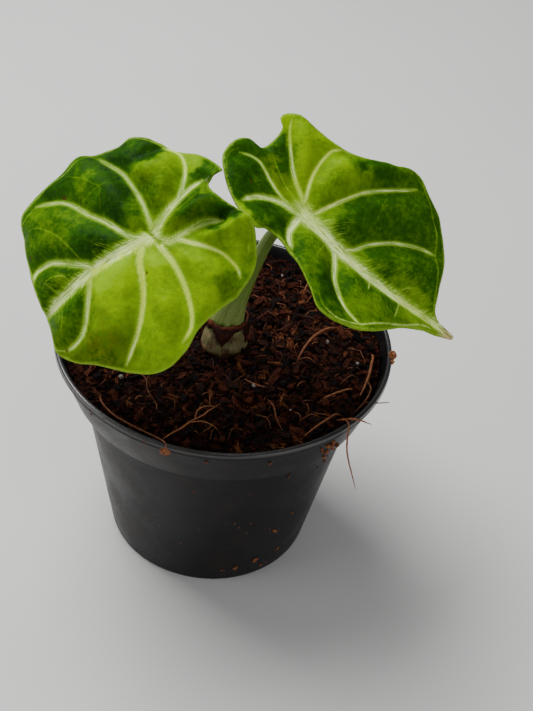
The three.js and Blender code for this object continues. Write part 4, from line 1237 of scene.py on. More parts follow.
def scatter_tree(name):
    """Ragged chips strewn over a bed."""
    tree, given = geometry_group(
        name, ("Bed", "Geometry"), ("Spacing", "Float", 2 * MM), ("Smallest", "Vector"),
        ("Largest", "Vector"), ("Tilt", "Float", 0.7), ("Lift", "Float", 0.3 * MM), ("Ragged", "Float", 0.8),
        ("Faces Across", "Int", 3), ("Seed", "Int", 1),
    )
    rise = random_value(tree, given, 1, -0.5, 1.0)
    lift = add(tree, "ShaderNodeCombineXYZ", {"Z": times(tree, rise, given["Lift"])})
    points = bed_points(tree, given, 3.0e6)
    lifted = add(tree, "GeometryNodeSetPosition", {"Geometry": points, "Offset": lift})
    across = given["Faces Across"]
    blank = add(tree, "GeometryNodeMeshCube", {
        "Size": (1, 1, 1), "Vertices X": across, "Vertices Y": across, "Vertices Z": across,
    })
    tilt, back = given["Tilt"], times(tree, given["Tilt"], -1.0)
    low = add(tree, "ShaderNodeCombineXYZ", {"X": back, "Y": back, "Z": -math.pi})
    high = add(tree, "ShaderNodeCombineXYZ", {"X": tilt, "Y": tilt, "Z": math.pi})
    turn = random_value(tree, given, 2, low, high, "FLOAT_VECTOR")
    extent = random_value(tree, given, 3, given["Smallest"], given["Largest"], "FLOAT_VECTOR")
    choice = random_value(tree, given, 4, 0, CHIP_SHAPES - 1, "INT")
    shade = random_value(tree, given, 5, 0.0, 1.0)
    shapes = ragged_shapes(tree, blank, given, CHIP_SHAPES)
    return close_geometry(tree, strew(tree, lifted, shapes, turn, extent, shade, choice), given)


def fibre_tree(name):
    """Short bent fibres strewn over a bed."""
    tree, given = geometry_group(
        name, ("Bed", "Geometry"), ("Spacing", "Float", 3 * MM), ("Shortest", "Float", 2.5 * MM),
        ("Longest", "Float", 8 * MM), ("Radius", "Float", 0.11 * MM), ("Seed", "Int", 1),
    )
    arc = add(tree, "GeometryNodeCurveQuadraticBezier", {
        "Resolution": 9, "Start": (-0.5, 0.0, -0.05), "Middle": (0.05, 0.42, 0.3), "End": (0.5, 0.0, -0.03),
    })
    turn = random_value(tree, given, 2, (-0.35, -0.25, -math.pi), (0.35, 0.25, math.pi), "FLOAT_VECTOR")
    length = random_value(tree, given, 3, given["Shortest"], given["Longest"])
    shade = random_value(tree, given, 4, 0.1, 0.9)
    strewn = strew(tree, bed_points(tree, given, 6.0e5), arc, turn, length, shade)
    real = add(tree, "GeometryNodeRealizeInstances", {"Geometry": strewn})
    bent = roughened(tree, real, add(tree, "GeometryNodeInputPosition"), 330.0, 1.0, 2.2 * MM)
    along = add(tree, "GeometryNodeSplineParameter").outputs["Factor"]
    taper = calc(tree, "SUBTRACT", 1.0, calc(tree, "ABSOLUTE", calc(tree, "SUBTRACT", along, 0.45)))
    return close_geometry(tree, tube(tree, bent, 5, given["Radius"], taper), given)


def strand_tree(name):
    """Tubes that follow drawn paths. The paths carry their radius, and how pale each is as its shade."""
    tree, given = geometry_group(
        name, ("Paths", "Geometry"), ("Sides", "Int", 7), ("Unevenness", "Float", 0.15 * MM),
    )
    lines = add(tree, "GeometryNodeMeshToCurve", {"Mesh": given["Paths"]})
    even = tube(tree, lines, given["Sides"], 1.0, radius_here(tree))
    place = add(tree, "GeometryNodeInputPosition")
    uneven = roughened(tree, even, place, 900.0, 2.0, given["Unevenness"])
    return close_geometry(tree, smooth_faces(tree, uneven), given)


def grain_tree(name):
    """A lumpy grain on each point of a mesh, as large as the point says."""
    tree, given = geometry_group(name, ("Points", "Geometry"), ("Ragged", "Float", 0.9), ("Seed", "Int", 1))
    ball = add(tree, "GeometryNodeMeshIcoSphere", {"Radius": 1.0, "Subdivisions": 3}).outputs["Mesh"]
    points = add(tree, "GeometryNodeMeshToPoints", {"Mesh": given["Points"]})
    squeeze = random_value(tree, given, 1, (0.75, 0.7, 0.65), (1.1, 1.0, 0.9), "FLOAT_VECTOR")
    extent = scaled(tree, squeeze, radius_here(tree))
    turn = random_value(tree, given, 2, (-math.pi,) * 3, (math.pi,) * 3, "FLOAT_VECTOR")
    choice = random_value(tree, given, 3, 0, GRAIN_SHAPES - 1, "INT")
    shade = random_value(tree, given, 4, 0.35, 0.85)
    shapes = ragged_shapes(tree, ball, given, GRAIN_SHAPES)
    return close_geometry(tree, strew(tree, points, shapes, turn, extent, shade, choice), given)


def drain_tree(name):
    """Cuts a circle of round holes through the floor of a pot."""
    tree, given = geometry_group(
        name, ("Pot", "Geometry"), ("Holes", "Int", 8), ("Circle", "Float", 17 * MM),
        ("Radius", "Float", 2.4 * MM), ("Sharp Above", "Float", 0.6),
    )
    circle = add(tree, "GeometryNodeMeshCircle", {"Vertices": given["Holes"], "Radius": given["Circle"]})
    half_step = add(tree, "ShaderNodeCombineXYZ", {"Z": calc(tree, "DIVIDE", math.pi, given["Holes"])})
    turn = add(tree, "FunctionNodeEulerToRotation", {"Euler": half_step})
    turned = add(tree, "GeometryNodeTransform", {"Geometry": circle, "Rotation": turn})
    drill = add(tree, "GeometryNodeMeshCylinder", {
        "Vertices": 28, "Radius": given["Radius"], "Depth": 14 * MM,
    })
    drills = add(tree, "GeometryNodeInstanceOnPoints", {"Points": turned, "Instance": drill.outputs["Mesh"]})
    cut = add(tree, "GeometryNodeMeshBoolean", {
        "Mesh 1": given["Pot"], "Mesh 2": add(tree, "GeometryNodeRealizeInstances", {"Geometry": drills}),
    }, operation="DIFFERENCE", solver="EXACT")
    angle = add(tree, "GeometryNodeInputMeshEdgeAngle").outputs["Unsigned Angle"]
    crisp = add(tree, "GeometryNodeSetShadeSmooth", {
        "Geometry": smooth_faces(tree, cut.outputs["Mesh"]), "Shade Smooth": False,
        "Selection": calc(tree, "GREATER_THAN", angle, given["Sharp Above"]),
    }, domain="EDGE")
    return close_geometry(tree, crisp, given)


def grow(piece, tree, values):
    """Runs a geometry nodes tree on a piece and keeps the result as its plain mesh."""
    modifier = piece.modifiers.new("Grow", "NODES")
    modifier.node_group = tree
    for item in tree.interface.items_tree:
        if item.item_type == "SOCKET" and item.in_out == "INPUT" and item.name in values:
            modifier[item.identifier] = values[item.name]
    piece.update_tag()
    bpy.context.view_layer.update()
    found = piece.evaluated_get(bpy.context.evaluated_depsgraph_get())
    mesh = bpy.data.meshes.new_from_object(found)
    if not mesh.polygons:
        raise RuntimeError(f"{piece.name} came out empty")
    piece.modifiers.clear()
    bed = piece.data
    piece.data = mesh
    mesh.name = piece.name
    bpy.data.meshes.remove(bed)
    return piece


# Pieces


def pot_profile(pot):
    """Radius, height and fillet of each corner of the pot's section, from the middle of its underside round
    the wall to the middle of its floor."""
    mouth, top, base = pot.mouth_radius, pot.height, pot.base_radius
    collar = top - 13 * MM
    foot = collar - 1 * MM
    return [
        (0, 0, 0), (8 * MM, 0, 0.5 * MM), (9 * MM, 1.2 * MM, 0.5 * MM), (base - 5 * MM, 1.2 * MM, 0.5 * MM),
        (base - 4 * MM, 0, 0.5 * MM), (base, 0, 1.0 * MM), (mouth - 6.9 * MM, collar - 0.3 * MM, 0.8 * MM),
        (mouth - 4.3 * MM, collar, 0.8 * MM), (mouth - 0.75 * MM, top - 2.4 * MM, 0.5 * MM),
        (mouth, top - 1.9 * MM, 0.5 * MM), (mouth, top, 0.55 * MM), (mouth - 1.15 * MM, top, 0.45 * MM),
        (mouth - 4.1 * MM - pot.wall, collar + 1 * MM, 0.8 * MM),
        (mouth - 6.9 * MM - pot.wall, foot, 0.8 * MM), (base - pot.wall, 2.4 * MM, 1.2 * MM),
        (0, 2.4 * MM, 0),
    ]


def build_pot(pot):
    """The nursery pot: a turned wall with a deeper collar and a rounded rim, and drain holes in its floor."""
    corners = rounded(pot_profile(pot))
    profile = [corners[0]]
    for a, b in zip(corners, corners[1:]):
        parts = max(1, round(np.linalg.norm(b - a) / POT_STEP))
        profile += [a + (b - a) * k / parts for k in range(1, parts + 1)]
    angles = bearings(POT_COLUMNS)
    rows = [ring(angles, radius, z) for radius, z in profile[1:-1]]
    points = np.vstack([[(0, 0, profile[0][1])], *rows, [(0, 0, profile[-1][1])]])
    piece = new_piece("nursery_pot", points, skin(len(rows), POT_COLUMNS))
    grow(piece, once("Drain Holes", drain_tree), {
        "Holes": pot.drain_holes, "Circle": pot.drain_circle, "Radius": pot.drain_radius,
        "Material": plastic_material(pot),
    })
    return settle(piece, "pot_plastic", "pot")


def soil_height(x, y):
    """Height of the soil's surface in mm: gentle lumps and a few hollows."""
    waves = (
        np.sin(0.55 * x + 1.1) * np.cos(0.47 * y - 0.4)
        + 0.6 * np.sin(1.05 * y - 0.7 * x + 2.0) + 0.4 * np.sin(1.7 * x + 0.9 * y)
    )
    height = SOIL_LEVEL + 0.45 * waves
    for middle_x, middle_y, radius, depth in SOIL_HOLLOWS:
        height -= depth * np.exp(-2 * ((x - middle_x) ** 2 + (y - middle_y) ** 2) / radius ** 2)
    return height


def soil_surface(rings, columns):
    """Points of the soil's surface from its edge to near its middle, in mm."""
    rows = []
    for number in range(rings, 0, -1):
        row = ring(bearings(columns), SOIL_TOP_RADIUS * number / rings, 0.0)
        row[:, 2] = soil_height(row[:, 0], row[:, 1]) + 0.35 * lumps(row, 2.6, 1) + 0.22 * lumps(row, 1.1, 2)
        rows.append(row)
    return rows


def build_soil(soil):
    """The body of the coir mix, down to the pot's floor, with a lumpy surface."""
    angles = bearings(SOIL_COLUMNS)
    rows = [ring(angles, radius, z) for radius, z in SOIL_WALLS] + soil_surface(SOIL_RINGS, SOIL_COLUMNS)
    middle = (0, 0, rows[-1][:, 2].mean())
    piece = closed_piece("coir_mix", (0, 0, SOIL_WALLS[0][1]), rows, middle, soil_material(soil))
    return settle(piece, "coir", "soil")


def soil_bed(name, reach):
    """The part of the soil's surface that chips may lie on: not under the stem, and so far out in mm."""
    rows = soil_surface(BED_RINGS, BED_COLUMNS)
    points = np.vstack(rows)
    faces = []
    for face in skin(len(rows), BED_COLUMNS, ends=False):
        x, y = points[list(face)].mean(axis=0)[:2]
        if math.hypot(x - STEM_PLACE[0], y - STEM_PLACE[1]) > STEM_CLEARANCE and math.hypot(x, y) < reach:
            faces.append(face)
    return new_piece(name, points * MM, faces)


def build_chips(soil):
    """Coarse chips and fine crumbs strewn over the soil."""
    material = chip_material(soil)
    tree = once("Strewn Chips", scatter_tree)
    chips = grow(soil_bed("coir_chips", CHIP_REACH), tree, {
        "Spacing": soil.chip_spacing, "Smallest": (0.9 * MM, 0.6 * MM, 0.5 * MM),
        "Largest": (3.9 * MM, 1.8 * MM, 1.3 * MM), "Tilt": 0.6, "Lift": 0.5 * MM, "Ragged": 0.85,
        "Faces Across": 4, "Seed": soil.seed, "Material": material,
    })
    crumbs = grow(soil_bed("coir_crumbs", CRUMB_REACH), tree, {
        "Spacing": soil.crumb_spacing, "Smallest": (0.35 * MM, 0.3 * MM, 0.25 * MM),
        "Largest": (1.7 * MM, 0.8 * MM, 0.6 * MM), "Tilt": 1.3, "Lift": 0.6 * MM, "Ragged": 1.0,
        "Faces Across": 3, "Seed": soil.seed + 40, "Material": material,
    })
    return settle(chips, "coir"), settle(crumbs, "coir")


def wall_radius(z):
    """Outside radius of the pot at a height, in mm."""
    return float(np.interp(z, *zip(*WALL_OUTLINE)))


def points_piece(name, places):
    """A mesh of loose points (x, y, z, radius) in mm, which carry their radius."""
    places = np.array(places, float) * MM
    piece = new_piece(name, places[:, :3], [])
    paint(piece.data, "radius_here", places[:, 3])
    return piece


def build_grains(soil):
    """Perlite in the soil, and crumbs of coir stuck to the pot and its rim."""
    tree = once("Lumpy Grains", grain_tree)
    perlite = grow(points_piece("perlite_grains", PERLITE), tree, {
        "Seed": soil.seed, "Ragged": 1.5, "Material": perlite_material(soil),
    })
    draw = np.random.default_rng(soil.seed)
    places = []
    for bearing, height, spread, number, largest in CRUMB_CLUSTERS:
        for _ in range(number):
            z = min(CRUMB_TOP, height + spread * draw.uniform(-1, 1))
            grain = largest * draw.uniform(0.3, 1.0)
            reach = wall_radius(z) + 0.15 * grain
            angle = math.radians(bearing) + spread * draw.uniform(-1, 1) / reach
            # No crumb stands out beyond the pot's mouth at the front
            y = max(reach * math.sin(angle), 1.35 * grain - MOUTH_RADIUS)
            places.append((reach * math.cos(angle), y, z, grain))
    crumbs = grow(points_piece("stuck_crumbs", places), tree, {
        "Seed": soil.seed + 3, "Ragged": 1.6, "Material": fibre_material(soil),
    })
    return settle(perlite, "coir"), settle(crumbs, "coir")


def build_fibres(soil):
    """Fine fibres on the soil, and the longer strands that lie on it and hang over the rim."""
    material = fibre_material(soil)
    fine = grow(soil_bed("fine_fibres", FIBRE_REACH), once("Strewn Fibres", fibre_tree), {
        "Spacing": soil.fibre_spacing, "Shortest": 2.2 * MM, "Longest": 7 * MM, "Radius": 0.1 * MM,
        "Seed": soil.seed + 9, "Material": material,
    })
    points, edges, radii, shades = [], [], [], []
    for strand in STRANDS:
        line = smooth_line(strand.points, 10)
        first = len(points)
        share_along = np.linspace(0, 1, len(line))
        taper = 1 - 0.55 * np.abs(2 * share_along - 0.8) ** 2
        points += line.tolist()
        edges += [(first + k, first + k + 1) for k in range(len(line) - 1)]
        radii += (strand.radius * taper).tolist()
        shades += [strand.paleness] * len(line)
    strands = new_piece("coir_strands", np.array(points) * MM, [], edges=edges)
    paint(strands.data, "radius_here", np.array(radii) * MM)
    paint(strands.data, "shade", shades)
    grow(strands, once("Strands", strand_tree), {"Sides": 7, "Unevenness": 0.22 * MM, "Material": material})
    return settle(fine, "coir"), settle(strands, "coir")


def build_stem(stem):
    """The stem base: lumpy, with shallow folds that run up it."""
    profile = smooth_line(STEM_PROFILE, 9)
    angles = bearings(STEM_COLUMNS)
    rows, wound = [], []
    for radius, z in profile:
        showing = smoothstep(56.5, 59.5, z) * (1 - smoothstep(65.0, 67.6, z))
        circle = ring(angles, 1, z)
        cleft = 0.9 * bell(angles - 1.5 * math.pi, 0.22) * smoothstep(59.5, 63, z)
        shape = 0.35 * np.cos(3 * angles + 1.2) - 0.3 - cleft
        shape = shape + 0.9 * lumps(circle * (5, 5, 1), 2.6, 3) + 0.16 * lumps(circle * (5, 5, 0.5), 1.0, 4)
        rows.append(ring(angles, radius + shape * showing, z, STEM_PLACE))
        wound.append(np.roll(ring(angles, 5, z), 1, axis=1))
    low, high = profile[0][1], profile[-1][1]
    ends = (*STEM_PLACE, low), (*STEM_PLACE, high + 0.2)
    piece = closed_piece("stem_base_skin", ends[0], rows, ends[1], stem_material(stem))
    wind(piece, low, wound, high)
    return settle(piece, "stem", "stem_base")


def scale_reach(bearing):
    """How far the torn edge hangs down at a bearing in degrees, and how far it flares out, in mm."""
    drop, flare = 0.0, 0.0
    for middle, spread, depth, out in SCALE_POINTS:
        off = abs((bearing - middle + 540) % 360 - 180)
        point = max(0.0, 1 - off / spread)
        drop += depth * point ** 1.3
        flare += out * point
    return drop, flare


def build_scale(stem):
    """The dry scale: a thin torn collar with points that hang down, dished and wrinkled."""
    columns, levels = 240, 12
    down = [level / levels for level in range(levels + 1)]
    stations = [(t, 0.0) for t in down] + [(1 - t, SCALE_THICKNESS) for t in down]
    rows, wound = [], []
    for column in range(columns):
        bearing = column / columns * 360
        angle = math.radians(bearing)
        x, y = math.cos(angle), math.sin(angle)
        drop, flare = scale_reach(bearing)
        place = Vector((6 * x, 6 * y, 0.3))
        torn = 0.5 * noise.noise(place * 1.1) + 0.2 * noise.noise(place * 4) + 0.1 * noise.noise(place * 13)
        top = SCALE_TOP + 0.2 * math.sin(5 * angle + 0.6) + torn
        bottom = SCALE_BOTTOM - drop + 0.9 * torn
        for t, thickness in stations:
            z = top + (bottom - top) * t
            wrinkle = 0.16 * noise.noise(Vector((9 * x, 9 * y, 0.5 * z)))
            bow = 0.35 * math.sin(math.pi * t) * min(1, drop)
            radius = SCALE_RADIUS + 0.2 * t + flare * t ** 1.4 + wrinkle + bow + thickness
            rows.append((SCALE_PLACE[0] + radius * x, SCALE_PLACE[1] + radius * y, z))
            wound.append((z, 6 * x, 6 * y))
    faces = skin(columns, len(stations), ends=False, loop=True)
    piece = new_piece("papery_scale", np.array(rows) * MM, faces, scale_material(stem))
    paint(piece.data, "stalk_place", np.array(wound) * MM)
    return settle(piece, "dry_scale", "papery_sheath")


def build_stalk(name, stations, material, node, groove):
    """A stalk lofted along its path, with low ridges along it. groove is the depth in mm of the open sheath
    that runs up the front of its foot."""
    line = smooth_line(stations, 14)
    centres, sections = line[:, :3], line[:, 3:]
    ahead = unit(np.gradient(centres, axis=0))
    ahead[0] = (0, 0, 1)
    angles = bearings(STALK_COLUMNS)
    travelled = np.concatenate([[0], np.cumsum(np.linalg.norm(np.diff(centres, axis=0), axis=1))])
    rows, wound = [], []
    for centre, section, axis, far in zip(centres, sections, ahead, travelled):
        deep = unit(np.array([0, 1, 0]) - axis * axis[1])
        wide = np.cross(deep, axis)
        ridges = 0.035 * np.sin(7 * angles + 0.08 * far) + 0.02 * np.sin(12 * angles - 0.05 * far)
        off = (angles - 1.42 * math.pi - 0.012 * far + math.pi) % (2 * math.pi) - math.pi
        lips = groove * bell(far, 9) * (0.5 * bell(np.abs(off) - 0.34, 0.16) - bell(off, 0.24))
        around = ring(angles, 1 + ridges, 0)[:, :2] * section
        around += lips[:, None] * unit(around)
        rows.append(centre + around[:, :1] * wide + around[:, 1:] * deep)
        wound.append(np.roll(ring(angles, 2, far), 1, axis=1))
    piece = closed_piece(name, centres[0], rows, centres[-1], material)
    wind(piece, 0, wound, travelled[-1])
    return settle(piece, "stalk", node)


def distance_to(places, vein):
    """How far each place is from a vein, how far to its side, and how far along it in mm and as a share."""
    line = smooth_line(vein.points, 6)
    starts, steps = line[:-1], np.diff(line, axis=0)
    lengths = np.linalg.norm(steps, axis=1)
    before = np.concatenate([[0], np.cumsum(lengths)[:-1]])
    best = np.full(len(places), 1e9)
    aside, along = np.zeros(len(places)), np.zeros(len(places))
    for start, step, length, so_far in zip(starts, steps, lengths, before):
        off = places - start
        t = np.clip(off @ step / length ** 2, 0, 1)
        gap = off - t[:, None] * step
        reach = np.hypot(gap[:, 0], gap[:, 1])
        nearer = reach < best
        best = np.where(nearer, reach, best)
        aside = np.where(nearer, (step[0] * off[:, 1] - step[1] * off[:, 0]) / length, aside)
        along = np.where(nearer, so_far + t * length, along)
    return best, aside, along, along / (before[-1] + lengths[-1])


def half_width(vein, share_along):
    """Half the width of a vein, so far along it."""
    return vein.half_start + (vein.half_end - vein.half_start) * share_along


def stroke(gap, half):
    """How strong a line is: 1 in its middle, and one half at half its width."""
    return np.exp(-0.69 * (gap / half) ** 2)


def read_veins(blade, places):
    """What the veins do at each place of a blade (along, across, in mm)."""
    amount = len(places)
    found = {name: np.zeros(amount) for name in ("vein", "halo", "veinlet", "rib", "fray")}
    found["puff"], found["flow"] = np.ones(amount), np.zeros((amount, 3))
    closest = np.full(amount, np.inf)
    for number, vein in enumerate(blade["veins"]):
        gap, aside, along, share_along = distance_to(places, vein)
        half = half_width(vein, share_along)
        present = vein.whiteness * (1 - 0.5 * smoothstep(0.9, 1.0, share_along))
        found["vein"] = np.maximum(found["vein"], present * stroke(gap, half))
        halo = present * bell(np.maximum(gap - half, 0), 0.3 + 0.7 * half)
        found["halo"] = np.maximum(found["halo"], halo)
        found["rib"] = np.maximum(found["rib"], 0.75 * half * bell(gap, 0.75 * half + 0.5))
        found["puff"] *= 1 - bell(gap, PUFF_WIDTH)
        nearer = gap - half < closest
        closest = np.where(nearer, gap - half, closest)
        slanted = along - FIBRE_SLANT * np.abs(aside)
        flow = np.stack([slanted, aside, np.full(amount, FLOW_STEP * number)], axis=1)
        found["flow"] = np.where(nearer[:, None], flow, found["flow"])
        fray = np.clip((half - 0.2) / 0.9, 0.25, 1) * vein.whiteness ** 1.5
        found["fray"] = np.where(nearer, fray, found["fray"])
    # Painted shade: the veins are dimmed along the pinch at the joint, as the shade in that crease
    pinch = blade["pinch"]
    found["vein"] *= 1 - (0.32 + 0.5 * pinch.depth) * bell(distance_to(places, pinch)[0], pinch.width)
    for vein in blade["veinlets"] + blade["margin_veins"]:
        gap, _, _, share_along = distance_to(places, vein)
        ends = smoothstep(0, 0.05, share_along) * (1 - 0.7 * smoothstep(0.8, 1.0, share_along))
        line = vein.whiteness * (0.4 + 0.6 * ends) * stroke(gap, half_width(vein, share_along))
        found["veinlet"] = np.maximum(found["veinlet"], line)
    return found


def read_tissue(blade, places):
    """How lime and how yellowed the tissue is at each place: each patch holds most where it is nearest, and
    the borders between patches wander."""
    flat = np.column_stack([places, np.zeros(len(places))])
    wander = np.stack([lumps(flat, 2.4, 5), lumps(flat, 2.4, 6)], axis=1) * 1.3
    wander += np.stack([lumps(flat, 0.8, 7), lumps(flat, 0.8, 8)], axis=1) * 0.5
    moved = places + wander
    weight = np.zeros(len(places))
    tissue, yellowing = np.zeros(len(places)), np.zeros(len(places))
    for along, across, lime, yellow in blade["tissue"]:
        hold = 1 / ((moved[:, 0] - along) ** 2 + (moved[:, 1] - across) ** 2 + 0.6) ** 2.2
        weight += hold
        tissue += hold * lime
        yellowing += hold * yellow
    return tissue / weight, yellowing / weight


def read_spots(blade, places):
    """How brown with specks each place is, and how dry."""
    specks = np.zeros(len(places))
    for *middle, radius in blade["specks"]:
        gap = np.linalg.norm(places - middle, axis=1)
        specks = np.maximum(specks, 1 - smoothstep(0.5 * radius, 1.2 * radius, gap))
    *middle, radius = blade["dry_spot"]
    gap = np.linalg.norm(places - middle, axis=1)
    return specks, 0.8 * (1 - smoothstep(0.2 * radius, radius, gap))


def blade_axes(blade):
    """Three directions of a blade: towards its tip, across it, and out of its face."""
    face = unit(np.array(blade["face"], float))
    forward = np.array(blade["towards_tip"], float)
    forward = unit(forward - face * (forward @ face))
    return forward, np.cross(face, forward), face


def blade_rim(blade, inset):
    """The edge of a blade as points (along, across, height) in mm, drawn in by inset."""
    rim = smooth_loop(blade["edge"], BLADE_COLUMNS)
    tangent = np.roll(rim, -1, axis=0) - np.roll(rim, 1, axis=0)
    outward = unit(np.stack([tangent[:, 1], -tangent[:, 0]], axis=1))
    rim[:, :2] -= inset * soften(outward, 1.5)
    return rim


def blade_lift(blade, groove, places, reach, veins):
    """How far each place stands out of the plain sheet in mm: swollen between the veins, grooved on them and
    folded at the creases. reach is 0 at the joint and 1 at the edge."""
    flat = np.column_stack([places, np.zeros(len(places))])
    inner = 1 - reach ** 9
    lift = blade["swell"] * veins["puff"] * inner * (1 + 0.4 * lumps(flat, 6.0, 9))
    lift -= groove * np.minimum(veins["rib"] / 0.7, 1.3) * (1 - 0.7 * reach ** 6)
    lift += 0.10 * lumps(flat, 2.2, 10) * inner
    lift += 0.4 * lumps(flat, 3.6, 11) * smoothstep(0.6, 1.0, reach)
    pinch = blade["pinch"]
    lift -= pinch.depth * bell(distance_to(places, pinch)[0], pinch.width)
    for crease in blade["creases"]:
        gap, _, _, share_along = distance_to(places, crease)
        lift -= crease.depth * smoothstep(0, 0.4, share_along) * bell(gap, crease.width)
    return lift


def build_blade(name, blade, settings, slot, node, materials):
    """A leaf blade: its edge drawn from points, its face raised between the veins and grooved on them, and
    its underside ribbed. The edge is rounded."""
    forward, sideways, face = blade_axes(blade)
    edge_radius = 0.5 * settings.thickness / MM
    rim = blade_rim(blade, edge_radius)
    reaches = 1 - (1 - np.linspace(1 / BLADE_RINGS, 1, BLADE_RINGS)) ** 1.22
    rise = blade["rise_shape"]
    sheet = np.array([soften(rim, DEEPEST_SOFTENING * (1 - t)) * (t, t, t ** rise) for t in reaches])
    places = sheet[:, :, :2].reshape(-1, 2)
    reach = np.repeat(reaches, BLADE_COLUMNS)
    veins = read_veins(blade, places)
    lift = sheet[:, :, 2].ravel() + blade_lift(blade, settings.groove / MM, places, reach, veins)

    top = np.array(blade["joint"]) + places @ np.array([forward, sideways]) + lift[:, None] * face
    top = top.reshape(BLADE_RINGS, BLADE_COLUMNS, 3)
    around = np.roll(top, -1, axis=1) - np.roll(top, 1, axis=1)
    normal = unit(np.cross(np.gradient(top, axis=0), around))
    normal[:3] = normal[:3].mean(axis=1, keepdims=True)
    away = unit(np.cross(around[-1], normal[-1]))
    bend = []
    for angle in math.pi * np.arange(1, EDGE_ROUNDS + 1) / (EDGE_ROUNDS + 1):
        bend.append(top[-1] + edge_radius * (away * math.sin(angle) - normal[-1] * (1 - math.cos(angle))))

    chosen = np.unique(np.round(np.linspace(0, BLADE_RINGS - 1, UNDERSIDE_RINGS)).astype(int))[::-1]
    pad = 0.7 * bell(np.hypot(*places.T), 2.6)
    depth = 2 * edge_radius + pad + settings.rib / MM * np.minimum(veins["rib"], 1.2) * (1 - reach ** 4)
    depth = depth.reshape(BLADE_RINGS, BLADE_COLUMNS)
    bottom = [top[number] - normal[number] * depth[number][:, None] for number in chosen]
    hub = blade["joint"] + lift[:BLADE_COLUMNS].mean() * face
    piece = closed_piece(name, hub, [*top, *bend, *bottom], hub - face * depth[0].mean())
    for material in materials:
        piece.data.materials.append(material)
    under = 1 + (BLADE_RINGS + EDGE_ROUNDS - 1) * BLADE_COLUMNS
    polygons = piece.data.polygons
    polygons.foreach_set("material_index", [int(min(polygon.vertices) >= under) for polygon in polygons])

    specks, dryness = read_spots(blade, places)
    tissue, yellowing = read_tissue(blade, places)
    edge_gap = np.linalg.norm(sheet[:, :, :2] - rim[None, :, :2], axis=2)
    carried = {
        "vein": veins["vein"], "halo": veins["halo"], "veinlet": veins["veinlet"],
        "vein_flow": veins["flow"] * MM, "tissue": tissue, "yellowing": yellowing, "speck": specks,
        "dryness": dryness, "fray": veins["fray"], "edge_gap": edge_gap * MM,
    }
    for label, values in carried.items():
        grid = values.reshape(BLADE_RINGS, BLADE_COLUMNS, -1)
        middle = grid[0].mean(axis=0, keepdims=True)
        whole = np.vstack([middle, *grid, *[grid[-1]] * EDGE_ROUNDS, *grid[chosen], middle])
        paint(piece.data, label, whole[:, 0] if whole.shape[1] == 1 else whole)
    return settle(piece, slot, node)


# Stage


def build_camera():
    """The camera that took the photograph: its place, its pitch and roll, and its lens."""
    pitch, roll = math.radians(CAMERA_PITCH), math.radians(CAMERA_ROLL)
    ahead = Vector((0, math.cos(pitch), -math.sin(pitch)))
    right = Vector((1, 0, 0))
    up = right.cross(ahead)
    right_rolled = math.cos(roll) * right + math.sin(roll) * up
    up_rolled = -math.sin(roll) * right + math.cos(roll) * up
    data = bpy.data.cameras.new("photo_camera")
    data.sensor_fit = "VERTICAL"
    data.sensor_height = SENSOR_HEIGHT
    data.lens = SENSOR_HEIGHT * FOCAL_PIXELS / PHOTO_HEIGHT
    data.clip_start = 0.01
    camera = bpy.data.objects.new("photo_camera", data)
    camera.matrix_world = Matrix.Translation(Vector(CAMERA_PLACE) * MM) @ Matrix(
        (right_rolled, up_rolled, -ahead)
    ).transposed().to_4x4()
    bpy.context.scene.collection.objects.link(camera)
    bpy.context.scene.camera = camera


def soft_light(name, place, target, width, power):
    """A square soft light at a place, turned to a target."""
    data = bpy.data.lights.new(name, "AREA")
    data.shape = "SQUARE"
    data.size = width
    data.energy = power
    light = bpy.data.objects.new(name, data)
    light.location = place
    light.rotation_euler = (Vector(target) - Vector(place)).to_track_quat("-Z", "Y").to_euler()
    bpy.context.scene.collection.objects.link(light)


def build_floor(stage):
    """A wide pale floor."""
    columns, rings = 64, 6
    rows = [ring(bearings(columns), 0.1 * 2 ** number, 0) for number in range(1, rings + 1)]
    faces = []
    for column in range(columns):
        beside = (column + 1) % columns
        faces.append((0, 1 + column, 1 + beside))
        for a in range(1, 1 + (rings - 1) * columns, columns):
            faces.append((a + column, a + columns + column, a + columns + beside, a + beside))
    floor = new_piece("floor", np.vstack([[(0, 0, 0)], *rows]), faces, floor_material(stage))


def build_lights(stage):
    """A large key from above and behind on the left, so that it grazes the blades, a fill from the front
    right, a low light from the left and an even sky."""
    middle = (0, 0, 0.07)
    soft_light("key_light", (-0.26, 0.20, 0.66), middle, 0.46, stage.key)
    soft_light("fill_light", (0.55, -0.55, 0.30), middle, 0.6, stage.fill)
    soft_light("side_light", (-0.70, -0.25, 0.25), middle, 0.5, 0.8 * stage.fill)
    world = bpy.context.scene.world or bpy.data.worlds.new("studio")
    bpy.context.scene.world = world
    world.use_nodes = True
    background = world.node_tree.nodes["Background"]
    background.inputs["Color"].default_value = SKY_COLOUR
    background.inputs["Strength"].default_value = stage.sky


# Operators


class PLANT_OT_pot(bpy.types.Operator):
    """Builds the nursery pot"""

    bl_idname = "plant.pot"
    bl_label = "Nursery Pot"

    def execute(self, context):
        build_pot(context.scene.potted_aroid.pot)
        return {"FINISHED"}


class PLANT_OT_soil(bpy.types.Operator):
    """Builds the coir mix with its chips, crumbs and grains"""

    bl_idname = "plant.soil"
    bl_label = "Coir Mix"

    def execute(self, context):
        soil = context.scene.potted_aroid.soil
        build_soil(soil)
        build_chips(soil)
        build_grains(soil)
        return {"FINISHED"}


class PLANT_OT_fibres(bpy.types.Operator):
    """Builds the coir fibres and strands"""

    bl_idname = "plant.fibres"
    bl_label = "Coir Fibres"

    def execute(self, context):
        build_fibres(context.scene.potted_aroid.soil)
        return {"FINISHED"}


class PLANT_OT_stem(bpy.types.Operator):
    """Builds the stem base and its dry scale"""

    bl_idname = "plant.stem"
    bl_label = "Stem Base"

    def execute(self, context):
        stem = context.scene.potted_aroid.stem
        build_stem(stem)
        build_scale(stem)
        return {"FINISHED"}


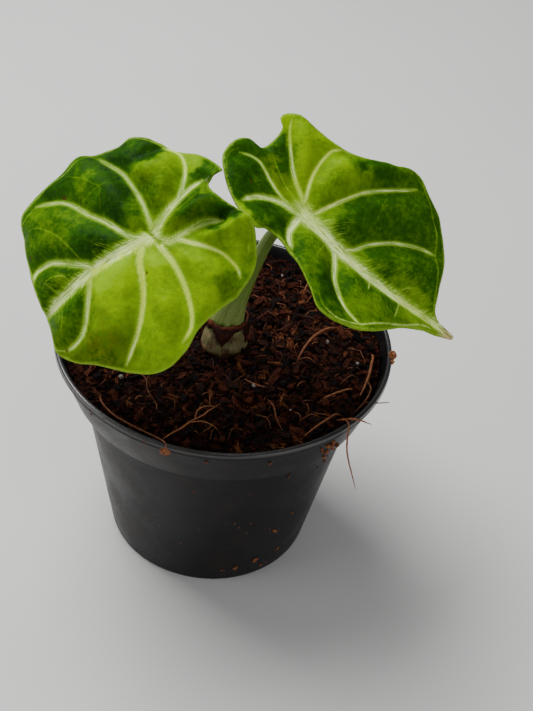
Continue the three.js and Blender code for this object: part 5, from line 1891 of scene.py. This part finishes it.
class PLANT_OT_stalks(bpy.types.Operator):
    """Builds the two leaf stalks"""

    bl_idname = "plant.stalks"
    bl_label = "Leaf Stalks"

    def execute(self, context):
        material = stalk_material(context.scene.potted_aroid.stem)
        build_stalk("stalk_left", LEFT_STALK, material, "petiole_left", groove=0.25)
        build_stalk("stalk_right", RIGHT_STALK, material, "petiole_right", groove=0.5)
        return {"FINISHED"}


class PLANT_OT_blades(bpy.types.Operator):
    """Builds the two leaf blades"""

    bl_idname = "plant.blades"
    bl_label = "Leaf Blades"

    def execute(self, context):
        settings = context.scene.potted_aroid.blade
        materials = [face_material(settings), underside_material(settings)]
        build_blade("blade_left", LEFT_BLADE, settings, "leaf_lime", "leaf_left", materials)
        build_blade("blade_right", RIGHT_BLADE, settings, "leaf_green", "leaf_right", materials)
        return {"FINISHED"}


class PLANT_OT_stage(bpy.types.Operator):
    """Builds the camera, the floor and the lights"""

    bl_idname = "plant.stage"
    bl_label = "Stage"

    def execute(self, context):
        stage = context.scene.potted_aroid.stage
        build_camera()
        build_floor(stage)
        build_lights(stage)
        return {"FINISHED"}


OPERATORS = (
    PLANT_OT_stage, PLANT_OT_pot, PLANT_OT_soil, PLANT_OT_fibres, PLANT_OT_stem, PLANT_OT_stalks,
    PLANT_OT_blades,
)


class PLANT_PT_panel(bpy.types.Panel):
    """Lists the pieces of the potted plant"""

    bl_label = "Potted Plant"
    bl_idname = "PLANT_PT_panel"
    bl_space_type = "VIEW_3D"
    bl_region_type = "UI"
    bl_category = "Plant"

    def draw(self, context):
        for operator in OPERATORS:
            self.layout.operator(operator.bl_idname)


CLASSES = (
    PotSettings, SoilSettings, StemSettings, BladeSettings, StageSettings, PlantSettings, *OPERATORS,
    PLANT_PT_panel,
)


def register():
    for cls in CLASSES:
        bpy.utils.register_class(cls)
    bpy.types.Scene.potted_aroid = bpy.props.PointerProperty(type=PlantSettings)


def unregister():
    del bpy.types.Scene.potted_aroid
    for cls in reversed(CLASSES):
        bpy.utils.unregister_class(cls)


def main():
    register()
    for operator in OPERATORS:
        group, name = operator.bl_idname.split(".")
        getattr(getattr(bpy.ops, group), name)()


if __name__ == "__main__":
    main()
